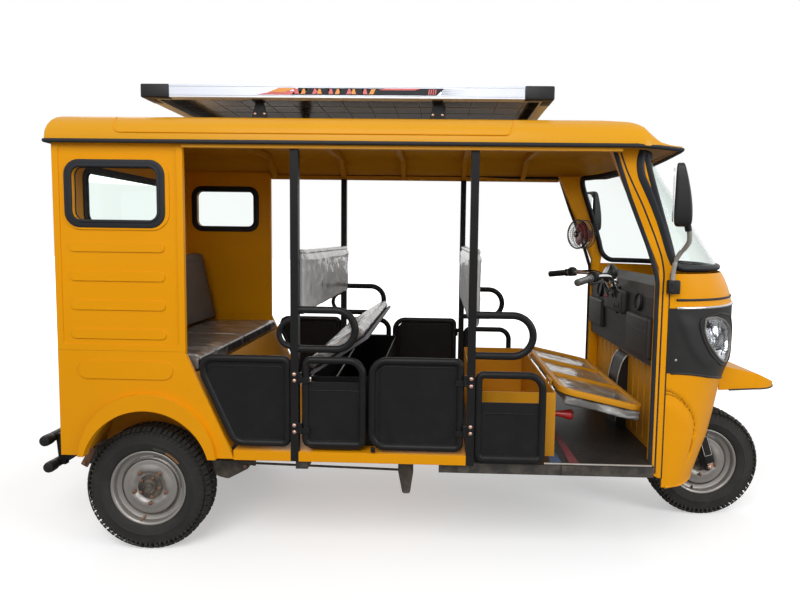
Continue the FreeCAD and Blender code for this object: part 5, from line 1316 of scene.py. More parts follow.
def noseSkins():
    dip = mirroredPath(bandDip)
    reach, head = 0.5303 * math.pi / 2, (1.0, 0.5, 0.0, -0.5, -1.0)
    outline = flatPoints(finePath(dip, 3)) + [(reach * t, 1.0965) for t in head]
    outline[0], outline[-len(head) - 1] = (-reach, bandDip[0][1]), (reach, bandDip[0][1])
    openings = [(flatPoints(lampOuter, side, lampShift), 0.03) for side in (1, -1)]
    band = laid(flatSheet([(outline, 0)] + openings, 0.013), 0.0015, bandRelief)
    band = thickened(finishMesh(band, "band", False), "band", 0.004)
    onBody("bandSkin", band, noseBlack, ["nose_band"], 40)
    onBody("cowlSkin", carved("front_cowl", 0.41, 0.775, cowlRelief), yellowPaint,
           ["front_cowl"], 40)
    edge = pipe(noseEdge(finePath(dip, 5), 0.0008), 0.0052, 0, False, 3)
    onBody("bandLowerEdge", edge, noseBlack, (), 40)
    arch = mirroredPath([(0.225, 0.352), (0.225, 0.560), (0.150, 0.636), (0.0, 0.640)])
    flange = [pipe(noseEdge(arch, -0.003), 0.006, 0.05, False, 3)]
    foot = [(k / 20 * 0.5295, 0.346) for k in range(21) if k / 20 * 0.5295 >= 0.22]
    for side in (-1, 1):
        flange.append(pipe(noseEdge([(side * y, z) for y, z in foot], -0.003), 0.0055, 0, False, 3))
    onBody("cowlRolledEdges", joined(flange, "edges"), yellowPaint, (), 50)
    screws = [pointing(domeMesh(0.006, 0.003), (0.25, side, 0),
                       (1.040, side * 0.5295, 0.884)) for side in (-1, 1)]
    onBody("bandScrews", joined(screws, "screws"), stemGrey, (), 40)


# the beak's heights in the solid and in the photograph, the knee of its top line, and its span
beak = {"low": (0.660, 0.674), "tip": (0.692, 0.684), "root": (0.785, 0.796), "knee": (1.593, 0.744),
        "x": (1.388, 1.721)}


def beakMove(co):
    # top line from root to tip, with a knee, and the lower edge raised
    (x0, x1), (kneeX, kneeZ), (low, newLow) = beak["x"], beak["knee"], beak["low"]
    (root, newRoot), (tip, newTip) = beak["root"], beak["tip"]
    was = root + (tip - root) * min(1.0, max(0.0, (co.x - x0) / (x1 - x0)))
    if co.x < kneeX:
        now = newRoot + (kneeZ - newRoot) * (co.x - x0) / (kneeX - x0)
    else:
        now = kneeZ + (newTip - kneeZ) * (co.x - kneeX) / (x1 - kneeX)
    co.z = newLow + (co.z - low) / (was - low) * (now - newLow)
    return co


def beakSkin():
    bm = nodeMesh("mudguard")
    x0, x1 = beak["x"]
    for k in range(1, 24):
        cutAt(bm, (x0 + (x1 - x0) * k / 24, 0, 0), (1, 0, 0))
    for v in bm.verts:
        v.co = beakMove(v.co)
    onBody("beakSkin", finishMesh(bm, "beak", False), yellowPaint, ["mudguard"], 40)


beakSkin()
noseSkins()
print("nose trim made")

# cushions: voxel mesh, cloth swelled by pressure, then seams pressed in
cushions = {
    "rearCushion": {"node": "rear_cushion", "body": "body", "fill": 0.75, "cap": 0.009,
                    "film": 0.0016, "seams": [("y", 0.0, 0.0035), ("y", 0.37, 0.0035), ("y", -0.37, 0.0035)]},
    "rearBackrest": {"node": "rear_backrest", "body": "body", "fill": 0.7, "cap": 0.010,
                     "film": 0.0, "seams": [("z", 1.225, 0.004)]},
    "middleCushion": {"node": "middle_cushion", "body": "middle_lid", "fill": 0.7, "cap": 0.007,
                      "film": 0.0022, "seams": []},
    "middleBackrest": {"node": "middle_backrest", "body": "body", "fill": 0.65, "cap": 0.007,
                       "film": 0.0022, "seams": [("z", 1.297, 0.005)]},
    "driverBackrest": {"node": "driver_backrest", "body": "body", "fill": 0.65, "cap": 0.007,
                       "film": 0.0022, "seams": [("z", 1.305, 0.005)]},
    "driverCushion": {"node": "driver_cushion", "body": "driver_lid", "fill": 0.7, "cap": 0.006,
                      "film": 0.0026, "seams": []},
}


clothFrames = 20
clothValues = {"quality": 4, "tension_stiffness": 12, "compression_stiffness": 12, "shear_stiffness": 6,
               "bending_stiffness": 0.6, "use_pressure": True}


def swelled(name, mesh, shrink, cap, voxel=0.009, pressure=4.0):
    # the solid shrunk a little, remeshed even, and swelled as cloth
    obj = link(bpy.data.objects.new(name + "Work", mesh))
    remesh = obj.modifiers.new("even", "REMESH")
    remesh.mode, remesh.voxel_size = "VOXEL", voxel
    even = baked(obj)
    bm = bmesh.new()
    bm.from_mesh(even)
    bm.normal_update()
    for vert in bm.verts:
        vert.co -= vert.normal * shrink
    bm.to_mesh(even)
    bm.free()
    rest = [v.co.copy() for v in even.vertices]
    obj = link(bpy.data.objects.new(name + "Work", even))
    cloth = obj.modifiers.new("cloth", "CLOTH")
    for key, value in {**clothValues, "uniform_pressure_force": pressure}.items():
        setattr(cloth.settings, key, value)
    cloth.settings.effector_weights.gravity = 0
    cloth.point_cache.frame_start, cloth.point_cache.frame_end = 1, clothFrames
    for step in range(1, clothFrames + 1):
        scene.frame_set(step)
    made = bpy.data.meshes.new_from_object(obj.evaluated_get(bpy.context.evaluated_depsgraph_get()))
    scene.frame_set(1)
    bpy.data.objects.remove(obj)
    for vert, start in zip(made.vertices, rest):
        push = vert.co - start
        if push.length > cap:
            vert.co = start + push.normalized() * cap
    return made


def subdivided(mesh, levels=1):
    obj = link(bpy.data.objects.new("smooth", mesh))
    more = obj.modifiers.new("smooth", "SUBSURF")
    more.levels = more.render_levels = levels
    return baked(obj)


def pressSeams(mesh, seams, film, seed):
    ways = [v.normal.copy() for v in mesh.vertices]   # read before anything moves
    for vert, out in zip(mesh.vertices, ways):
        move = 0.0
        for axis, place, depth in seams:
            off = getattr(vert.co, axis) - place
            move -= depth * math.exp(-(off / 0.0075) ** 2)
            move += depth * 0.35 * math.exp(-((abs(off) - 0.022) / 0.012) ** 2)
        if film:
            spot = vert.co * 9.0 + Vector((seed, 0, 0))
            fold = mnoise.ridged_multi_fractal(Vector((spot.x * 0.7, spot.y * 1.3, spot.z)), 1.0, 2.2, 4,
                                               1.0, 2.0)
            move += film * (fold - 1.2)
        vert.co += out * move
    return mesh


def makeCushions():
    finishes = {"rearCushion": filmedSeat, "rearBackrest": greyCloth, "middleCushion": filmedSeat,
                "middleBackrest": filmSheenBack, "driverBackrest": filmSheenBack, "driverCushion": filmWrap}
    for seed, (name, job) in enumerate(cushions.items()):
        copy = bpy.data.meshes.new(job["node"] + "Copy")
        skin = nodeMesh(job["node"])
        skin.to_mesh(copy)
        skin.free()
        mesh = subdivided(swelled(name, copy, 0.004, job["cap"]))
        mesh = pressSeams(mesh, job["seams"], job["film"], seed * 3.1)
        obj = asPiece(name, mesh, finishes[name], job["body"], [job["node"]], 0)
        obj.data.shade_smooth()
        if name == "rearCushion":   # its front face is black under the film
            obj.data.materials.append(filmedEdge)
            for face in obj.data.polygons:
                if face.normal.x > 0.55 or face.normal.z < -0.5:
                    face.material_index = 1
        print("cushion", name, len(mesh.polygons))


makeCushions()
print("cushions made")


# driver's seat lid, swung open: square tube frame, boards under film
lid = {"tube": 0.025, "corner": 0.058, "half": 0.490, "length": 0.366, "gap": 0.010, "hinge": (0.571, 0.739),
       "top": 0.7513,
       "open": 192.2, "bars": (0.34, 0.67)}


def lidPose(mesh):
    return turned(mesh, math.radians(lid["open"]), (0, 1, 0), (lid["hinge"][0], 0, lid["hinge"][1]))


def driverLid():
    hx, hz = lid["hinge"]
    half, tube = lid["half"], lid["tube"]
    x1, z1 = hx - lid["gap"], lid["top"]
    x0, z0 = x1 - lid["length"], z1 - tube
    bm = bmesh.new()
    verts = [bm.verts.new(p) for p in ((x0, -half, z1), (x1, -half, z1), (x1, half, z1), (x0, half, z1))]
    bm.faces.new(verts)
    bevelled(bm, verts, lid["corner"], 8, "VERTICES")
    ringSolid(bm, tube, (0, 0, -tube), 0.003)
    parts = [finishMesh(bm, "lidRing")]
    for share in lid["bars"]:
        y = (2 * share - 1) * half
        parts.append(blockMesh((x0 + 0.012, y - tube / 2, z0 + 0.001),
                               (x1 - 0.012, y + tube / 2, z1 - 0.005), 0.003))
    for y in (-half * 0.6, half * 0.6):
        parts.append(blockMesh((x1 - 0.005, y - tube, hz - 0.004), (hx, y + tube, hz + 0.004), 0.001))
        parts.append(pipe([(hx, y - tube, hz), (hx, y + tube, hz)], 0.005, 0, False, 3))
    asPiece("lidFrame", lidPose(joined(parts, "lidFrame")), innerShadePaint, "driver_lid",
            ["driver_lid"], 35)
    bm = bmesh.new()
    bmesh.ops.create_grid(bm, x_segments=44, y_segments=110, size=0.5)
    bmesh.ops.scale(bm, vec=(lid["length"] - 0.036, 2 * half - 0.036, 1), verts=bm.verts)
    bmesh.ops.translate(bm, vec=((x0 + x1) / 2, 0, z1 - 0.008), verts=bm.verts)
    for vert in bm.verts:
        spot = Vector((vert.co.x * 7, vert.co.y * 13, 0.4))
        vert.co.z -= 0.0035 * (mnoise.ridged_multi_fractal(spot, 1.0, 2.2, 4, 1.0, 2.0) - 1.0)
    board = thickened(finishMesh(bm, "lidBoard", False), "lidBoard", 0.004, 0.0)
    asPiece("lidBoards", lidPose(board), filmedBoard, "driver_lid", (), 60)
    plug = pointing(domeMesh(0.006, 0.002), (-0.211, 0, 0.977), (hx + 0.030, -half + 0.062, hz - 0.0005))
    asPiece("lidScrews", plug, blackPlastic, "driver_lid", (), 40)


driverLid()


def scuffedMat():
    # handbrake grip, threshold strip and the coloured strips on the rubber mat
    grip = lathe([(0.0, 0.0), (0.007, 0.0), (0.009, 0.003), (0.0115, 0.030), (0.0155, 0.055), (0.021, 0.078),
                  (0.0235, 0.088), (0.0225, 0.098), (0.016, 0.104), (0.0, 0.105)], 28)
    grip = pointing(grip, (1, 0, -0.06), (0.566, -0.350, 0.597))
    onBody("handbrakeGrip", grip, redPlastic, (), 50)
    rod = pipe([(0.560, -0.350, 0.5975), (0.574, -0.350, 0.5965)], 0.005, 0, False, 3)
    post = pipe([(0.561, -0.350, 0.597), (0.559, -0.350, 0.5972)], 0.010, 0, False, 3)
    onBody("handbrakeStem", joined([rod, post], "stem"), zincSteel, (), 40)
    for points, material, name in (
            ([(0.616, -0.152), (0.640, -0.150), (0.652, -0.571), (0.612, -0.571)], matRed, "matRedStrip"),
            ([(0.5672, -0.250), (0.5690, -0.250), (0.5820, -0.571), (0.5300, -0.571)], matBlue,
             "matBlueStrip")):
        strip = plate([(x, y, 0.4510) for x, y in reversed(points)], 0.0012, 0.0003)
        if strip.polygons and sum(p.normal.z * p.area for p in strip.polygons if p.center.z > 0.4515) < 0:
            strip.flip_normals()
        onBody(name, strip, material, (), 0)
    edge = pipe([(0.505, -0.573, 0.4525), (0.945, -0.573, 0.4525)], 0.0045, 0, False, 2)
    onBody("matEdgeStrips", bothSides(edge, "edges"), zincSteel, (), 40)


scuffedMat()
print("lid and floor made")

# headlamps: a black surround, a reflector bowl of facets and a clear lens
def rimGap(points, s, z):
    gaps = []
    for (s0, z0), (s1, z1) in zip(points, points[1:] + points[:1]):
        ds, dz = s1 - s0, z1 - z0
        along = min(1.0, max(0.0, ((s - s0) * ds + (z - z0) * dz) / (ds * ds + dz * dz)))
        gaps.append(math.hypot(s - s0 - along * ds, z - z0 - along * dz))
    return min(gaps)


def grown(points, amount):
    ms = sum(p[0] for p in points) / len(points)
    mz = sum(p[1] for p in points) / len(points)
    made = []
    for s, z in points:
        far = math.hypot(s - ms, z - mz)
        made.append((ms + (s - ms) * (far + amount) / far, mz + (z - mz) * (far + amount) / far))
    return made


def loopPipe(points, bend, proud, radius):
    bm = bmesh.new()
    flatLoop(bm, points, bend)
    for v in bm.verts:
        v.co = noseAt(v.co.x, v.co.y, proud)
    return edgesToPipe(bm, radius, 3)


def makeHeadlamps():
    outer, inner = flatPoints(lampOuter, 1, lampShift), flatPoints(lampInner, 1, lampShift)
    surround = laid(flatSheet([(grown(outer, 0.002), 0.03), (inner, 0.012)], 0.008), 0.0035)
    surround = thickened(finishMesh(surround, "surround", False), "surround", 0.004)
    ridge = loopPipe(grown(outer, -0.002), 0.03, 0.0035, 0.0042)
    onBody("lampSurrounds", bothSides(joined([surround, ridge], "surround"), "surrounds"), noseBlack,
           ["headlamps"], 40)
    onBody("lampInnerRims", bothSides(loopPipe(inner, 0.012, 0.0035, 0.0038), "rims"), lampGrey, (),
           40)

    def bowlDepth(s, z):
        gap = rimGap(inner, s, z)
        upper = math.hypot((s - lampShift - arcOf(-0.440)) / 0.070, (z - 1.010) / 0.048)
        lower = math.hypot((s - lampShift - arcOf(-0.385)) / 0.055, (z - 0.918) / 0.055)
        pit = 0.020 * max(0.0, 1 - upper * upper) ** 0.5 + 0.018 * max(0.0, 1 - lower * lower) ** 0.5
        facet = 0.0030 * mnoise.noise(Vector((s * 70, z * 70, 0.3))) * min(1.0, gap * 60)
        return -(0.001 + min(0.014, gap * 1.1) + pit + facet)

    bowl = laid(flatSheet([(grown(inner, 0.003), 0.012)], 0.0105), bowlDepth)
    bmesh.ops.triangulate(bowl, faces=bowl.faces[:])
    bowl = thickened(finishMesh(bowl, "bowl", False), "bowl", 0.0015)
    onBody("lampBowls", bothSides(bowl, "bowls"), lampChrome, (), 0)
    lens = laid(flatSheet([(grown(inner, 0.002), 0.012)], 0.012),
                lambda s, z: 0.0042 + 0.0030 * smoothStep(rimGap(inner, s, z), 0.0, 0.03))
    lens = thickened(finishMesh(lens, "lens", False), "lens", 0.0015)
    onBody("lampLenses", bothSides(lens, "lenses"), lensClear, (), 50)
    parts = []
    for y, z, size in ((-0.455, 1.018, 0.014), (-0.392, 0.912, 0.012)):
        s = arcOf(y) + lampShift
        way = noseNormal(y, z)
        cup = lathe([(0.0, 0.024), (size * 0.55, 0.022), (size * 0.9, 0.014), (size, 0.0), (0.0, 0.0)], 16)
        parts.append(pointing(cup, way, noseAt(s, z, -0.030)))
    for points in ([(-0.470, 1.040), (-0.452, 0.990), (-0.425, 0.955)],
                   [(-0.420, 1.030), (-0.412, 0.965), (-0.432, 0.905)],
                   [(-0.372, 0.995), (-0.360, 0.935), (-0.382, 0.880)]):
        parts.append(pipe([noseAt(arcOf(y) + lampShift, z, -0.010) for y, z in points], 0.0020, 0, False, 2))
    onBody("lampBulbHoods", bothSides(joined(parts, "hoods"), "hoods"), dialFace, (), 40)


makeHeadlamps()


# mirrors on their stems
mirror = {"stem": 0.0092, "turn": 23, "pivot": (0.982, 0.652, 0), "foot": 1.427, "tall": 0.239, "half": 0.057,
          "deep": 0.066, "back": 0.957, "glass": 0.9535}


def mirrorHead():
    bm = bmesh.new()
    bmesh.ops.create_cube(bm, size=1)
    bmesh.ops.subdivide_edges(bm, edges=bm.edges[:], cuts=5, use_grid_fill=True)
    for v in bm.verts:
        # flat to the rear, domed forward, narrow at the top
        up = v.co.z + 0.5
        v.co.z = mirror["foot"] + mirror["tall"] * up
        wide = mirror["half"] * (1 - 0.20 * max(0, up - 0.45) ** 1.3) * (1 - 0.20 * max(0, 0.3 - up))
        v.co.y = mirror["pivot"][1] + v.co.y * 2 * wide
        ahead = v.co.x + 0.5
        deep = mirror["deep"] * (1 - 0.78 * max(0.0, up - 0.18) ** 1.55)
        v.co.x = mirror["back"] + 0.004 * up + ahead * max(0.014, deep)
    bmesh.ops.smooth_vert(bm, verts=bm.verts, factor=0.6, use_axis_x=True, use_axis_y=True, use_axis_z=True)
    return subdivided(finishMesh(bm, "mirrorHead"), 2)


def makeMirrors():
    glass = finishMesh(roundedRect((-0.045, 1.446), (0.045, 1.648), 0.030, 8), "mirrorGlass", False)
    place = Matrix.Translation((mirror["glass"], mirror["pivot"][1], 0))
    glass = thickened(moved(glass, place @ Matrix.Rotation(math.pi / 2, 4, "Z")), "mirrorGlass", 0.004, 0.0)
    head, glass = (turned(one, math.radians(mirror["turn"]), (0, 0, 1), mirror["pivot"])
                   for one in (mirrorHead(), glass))
    way = [(1.006, 0.543, 1.178), (1.006, 0.545, 1.262), (1.016, 0.560, 1.318), (1.034, 0.604, 1.352),
           (1.030, 0.636, 1.386), (1.008, 0.650, 1.446)]
    stem = pipe(way, mirror["stem"], 0.030, False, 5, 7)
    clamp = joined([blockMesh((0.986, 0.5305, 1.158), (1.034, 0.5585, 1.214), 0.005, 3),
                    pointing(nutMesh(0.006, 0.006), (0, 1, 0), (0.9985, 0.554, 1.171)),
                    pointing(nutMesh(0.006, 0.006), (0, 1, 0), (0.9985, 0.554, 1.201))], "clamp")
    collar = pointing(lathe([(0.0, 0.0), (0.0125, 0.0), (0.0125, 0.018), (0.0105, 0.022), (0.0, 0.022)], 20),
                      (-0.3, 0.2, 1), (1.0165, 0.646, 1.412))
    onBody("mirrorHeads", bothSides(joined([head, collar], "heads"), "heads"), blackPlastic,
           ["mirrors"], 0)
    onBody("mirrorGlasses", bothSides(glass, "glasses"), brightChrome, (), 30)
    onBody("mirrorStems", bothSides(stem, "stems"), stemGrey, (), 60)
    onBody("mirrorClamps", bothSides(clamp, "clamps"), blackPlastic, (), 40)


makeMirrors()


# cab fan
fanSpec = {"centre": (0.894, 0.427, 1.404), "way": (-0.86, -0.5, 0), "radius": 0.080, "depth": 0.060,
           "wires": 44, "lean": 0.42, "blades": 3}


def fanFrame(mesh):
    # a mesh made round +Y is laid along the fan's axis
    return pointing(mesh, fanSpec["way"], fanSpec["centre"])


def fanHoop(radius, level, wire, steps, ring):
    turns = [math.tau * k / steps for k in range(steps)]
    return pipe([(radius * math.cos(t), level, radius * math.sin(t)) for t in turns], wire, 0, True, ring)


def makeFan():
    r, d = fanSpec["radius"], fanSpec["depth"]
    hoops = [fanHoop(r, level, wire, 48, 3)
             for level, wire in ((d - 0.002, 0.0042), (0.022, 0.0018), (-0.001, 0.0020))]
    onBody("fanHoop", fanFrame(joined(hoops, "hoops")), blackPlastic, ["fan_cage"], 30)
    wires = []
    for i in range(fanSpec["wires"]):
        turn = math.tau * i / fanSpec["wires"]
        front = []
        for share in (0.22, 0.5, 0.78, 0.99):
            a = turn + fanSpec["lean"] * share
            front.append((r * share * math.cos(a), d + 0.004 + 0.011 * (1 - share ** 2),
                          r * share * math.sin(a)))
        wires.append(pipe(front, 0.0007, 0, False, 1))
        wires.append(pipe([(front[-1][0], d - 0.002, front[-1][2]), (front[-1][0], -0.001, front[-1][2])],
                          0.0008, 0, False, 1))
        back = [(r * share * math.cos(turn), -0.004 - 0.008 * (1 - share),
                 r * share * math.sin(turn)) for share in (0.25, 0.6, 1.0)]
        wires.append(pipe(back, 0.0008, 0, False, 1))
    wires += [fanHoop(r * share, d + out, 0.0010, 32, 1) for share, out in ((0.55, 0.0118), (0.80, 0.0082))]
    onBody("fanWires", fanFrame(joined(wires, "wires")), lampGrey, (), 60)
    cap = lathe([(0.0, d + 0.0175), (0.010, d + 0.0165), (0.0165, d + 0.0145), (0.0185, d + 0.011),
                 (0.0185, d + 0.008), (0.0, d + 0.008)], 28)
    back = lathe([(0.0, 0.003), (0.026, 0.003), (0.027, -0.010), (0.026, -0.034), (0.018, -0.040),
                  (0.0, -0.040)], 32)
    foot = pipe([(0.922, 0.443, 1.404), (0.918, 0.466, 1.380), (0.914, 0.486, 1.364)], 0.006, 0.012, False, 3)
    base = pointing(lathe([(0.0, 0.0), (0.016, 0.0), (0.016, 0.008), (0.010, 0.012), (0.0, 0.012)], 24),
                    (0, -1, 0), (0.914, 0.4885, 1.364))
    badge = lathe([(0.0, d + 0.0192), (0.006, d + 0.0188), (0.0078, d + 0.0172), (0.0, d + 0.0166)], 24)
    onBody("fanBadge", fanFrame(badge), fanWhite, (), 60)
    onBody("fanCap", fanFrame(joined([cap, back], "cap")), blackPlastic, (), 40)
    onBody("fanFoot", joined([foot, base], "foot"), fanWhite, (), 40)
    bm = bmesh.new()
    bmesh.ops.create_grid(bm, x_segments=9, y_segments=7, size=0.5)
    for v in bm.verts:
        along, across = v.co.x + 0.5, v.co.y
        wide = 0.50 + 0.62 * math.sin(math.pi * min(1.0, 0.15 + along * 0.85))
        turn = across * wide * 1.6 + 0.35 * along
        reach = 0.012 + 0.056 * along
        v.co = Vector((reach * math.sin(turn), 0.021 + 0.016 * across * wide + 0.003 * math.cos(3 * across),
                       reach * math.cos(turn)))
    blade = thickened(finishMesh(bm, "blade", False), "blade", 0.0018, 0.0)
    hub = lathe([(0.0, 0.036), (0.009, 0.035), (0.0135, 0.031), (0.014, 0.010), (0.0135, 0.0048),
                 (0.0, 0.0048)], 28)
    blades = [turned(blade, math.tau * i / fanSpec["blades"], (0, 1, 0))
              for i in range(fanSpec["blades"])]
    asPiece("fanBlades", fanFrame(joined([hub] + blades, "blades")), fanRed, "fan_rotor",
            ["fan_blades"], 50)


makeFan()
print("lamps, mirrors and fan made")


# handlebar, levers, switches and the instrument pod
barMid = Vector((0.9289, 0.0, 1.1595))
steerAxis = {"foot": Vector((1.382, 0, 0.27)), "rake": math.radians(27), "clamp": 0.986}


def barPoint(x, y, z):
    return barMid + Vector((x, y, z))


def ribbedGrip(length, radius):
    profile = [(0.0, 0.0), (radius * 0.8, 0.0), (radius, 0.002)]
    count = 16
    step = (length - 0.012) / count
    for i in range(count):
        a = 0.004 + step * i
        profile += [(radius, a + step * 0.1), (radius, a + step * 0.6), (radius - 0.0012, a + step * 0.7),
                    (radius - 0.0012, a + step * 0.95)]
    profile += [(radius + 0.004, length - 0.006), (radius + 0.004, length - 0.001), (radius, length),
                (0.0, length)]
    return lathe(profile, 24)


def makeHandlebar():
    left = [barPoint(-0.010, 0.0, 0.002), barPoint(-0.020, 0.050, 0.006), barPoint(-0.045, 0.128, 0.040),
            barPoint(-0.140, 0.200, 0.042), barPoint(-0.250, 0.318, 0.021)]
    tube = pipe(left, 0.0112, 0.045, False, 4, 8)
    a, b = left[3:]
    way = (b - a).normalized()
    grip = pointing(ribbedGrip(0.116, 0.0165), -way, b + way * 0.003)
    asPiece("handlebarTube", bothSides(tube, "bars"), brightChrome, "steering", ["handlebar"], 40)
    asPiece("leftGrip", grip, blackPlastic, "steering", (), 50)
    asPiece("rightGrip", moved(grip, Matrix.Scale(-1, 4, (0, 1, 0))), gripGrey, "steering", (), 50)
    pods, buttons = [], []
    for side in (1, -1):
        flip = Matrix.Scale(side, 4, (0, 1, 0))
        centre = b - way * 0.146
        pod = blockMesh((-0.021, -0.017, -0.022), (0.021, 0.017, 0.022), 0.006, 3)
        cap = blockMesh((-0.015, -0.008, 0.018), (0.015, 0.009, 0.027), 0.003, 2)
        pods.append(moved(pointing(joined([pod, cap], "pod"), way, centre), flip))
        lever = pipe([centre + Vector((0.012, 0.0, -0.004)), centre + Vector((0.040, 0.020, -0.008)),
                      centre + Vector((0.004, 0.085, -0.016)), centre + Vector((-0.040, 0.128, -0.022))],
                     0.0048, 0.02, False, 3)
        knob = moved(domeMesh(0.0075, 0.0075), Matrix.Translation(centre + Vector((-0.040, 0.128, -0.022))))
        pods.append(moved(joined([lever, knob], "lever"), flip))
        button = pointing(domeMesh(0.006, 0.006), (-0.6, 0.1, -0.6), centre + Vector((-0.016, 0.004, -0.016)))
        buttons.append(moved(button, flip))
        stalk = [centre + Vector((0.004, 0.0, 0.016)), centre + Vector((0.010, -0.028, 0.022))]
        pods.append(moved(pipe(stalk, 0.0035, 0, False, 2), flip))
    asPiece("switchPods", joined(pods, "pods"), blackPlastic, "steering", (), 40)
    asPiece("switchButtons", joined(buttons, "buttons"), redPlastic, "steering", (), 50)
    # clamp, stem tubes and the meter pod over the column
    rake = steerAxis["rake"]
    up, fore = Vector((-math.sin(rake), 0, math.cos(rake))), Vector((math.cos(rake), 0, math.sin(rake)))
    top = steerAxis["foot"] + up * steerAxis["clamp"]
    clamp = [pointing(lathe([(0.0, 0.0), (0.029, 0.0), (0.030, 0.004), (0.030, 0.028), (0.024, 0.033),
                             (0.0, 0.033)], 32), up, top + up * 0.0003)]
    for y in (-0.034, 0.034):
        clamp.append(pipe([top - up * 0.155 + fore * 0.012 + Vector((0, y, 0)),
                           top + up * 0.012 + Vector((0, y, 0))], 0.0085, 0, False, 3))
    asPiece("barClampTubes", joined(clamp, "clamp"), brightChrome, "steering", (), 40)
    meter = lathe([(0.0, 0.026), (0.040, 0.026), (0.046, 0.020), (0.048, 0.006), (0.040, -0.014),
                   (0.022, -0.030), (0.0, -0.032)], 40)
    place = top + fore * 0.010 + up * 0.058
    meterWay = (up - fore * 0.75).normalized()
    asPiece("meterPod", pointing(meter, meterWay, place), blackPlastic, "steering", (), 40)
    face = lathe([(0.0, 0.0275), (0.036, 0.0275), (0.0385, 0.0262), (0.0, 0.0262)], 40)
    asPiece("meterGlass", pointing(face, meterWay, place), dialFace, "steering", (), 40)
    blocks = []
    for dz, y, size in ((-0.060, 0.0, 0.030), (-0.105, 0.012, 0.026), (-0.150, -0.010, 0.024),
                        (-0.030, -0.050, 0.018), (-0.085, -0.042, 0.016)):
        c = top + up * dz - fore * 0.016 + Vector((0, y, 0))
        one = blockMesh((-size * 0.55, -size * 0.8, -size), (size * 0.55, size * 0.8, size), 0.005, 3)
        blocks.append(moved(one, Matrix.Translation(c) @ Matrix.Rotation(-rake, 4, "Y")))
    asPiece("columnSwitches", joined(blocks, "blocks"), blackPlastic, "steering", (), 40)
    runs = []
    for side in (-1, 1):
        for k in range(3):
            start = b - way * 0.150
            start = Vector((start.x, side * start.y, start.z))
            down = top - up * (0.13 + 0.03 * k) - fore * 0.012
            runs.append([start + Vector((0.006, 0, 0.012 - 0.006 * k)),
                         Vector((0.885 + 0.012 * k, side * (0.120 - 0.02 * k), 1.205 + 0.018 * k)),
                         Vector((0.925 - 0.006 * k, side * (0.050 + 0.010 * k), 1.150 - 0.03 * k)),
                         down + Vector((0, side * (0.022 + 0.006 * k), 0))])
    tubes = [smoothRun(points, 0.0032) for points in runs]
    asPiece("controlCables", joined(tubes, "cables"), rubberBlack, "steering", (), 60)


def smoothRun(points, radius, ring=2):
    curve = bpy.data.curves.new("run", "CURVE")
    curve.dimensions = "3D"
    spline = curve.splines.new("NURBS")
    spline.points.add(len(points) - 1)
    for one, place in zip(spline.points, points):
        one.co = (*place, 1)
    spline.order_u, spline.use_endpoint_u = 3, True
    curve.bevel_depth, curve.bevel_resolution, curve.use_fill_caps = radius, ring, True
    return baked(link(bpy.data.objects.new("run", curve)))


makeHandlebar()
print("handlebar made")

# roof panel: rails, corner caps, stripes, cells and bracket bolts
panelBox = {"x": (-1.190, 0.520), "y": 0.480, "z": (1.942, 1.994), "cell": 0.118}


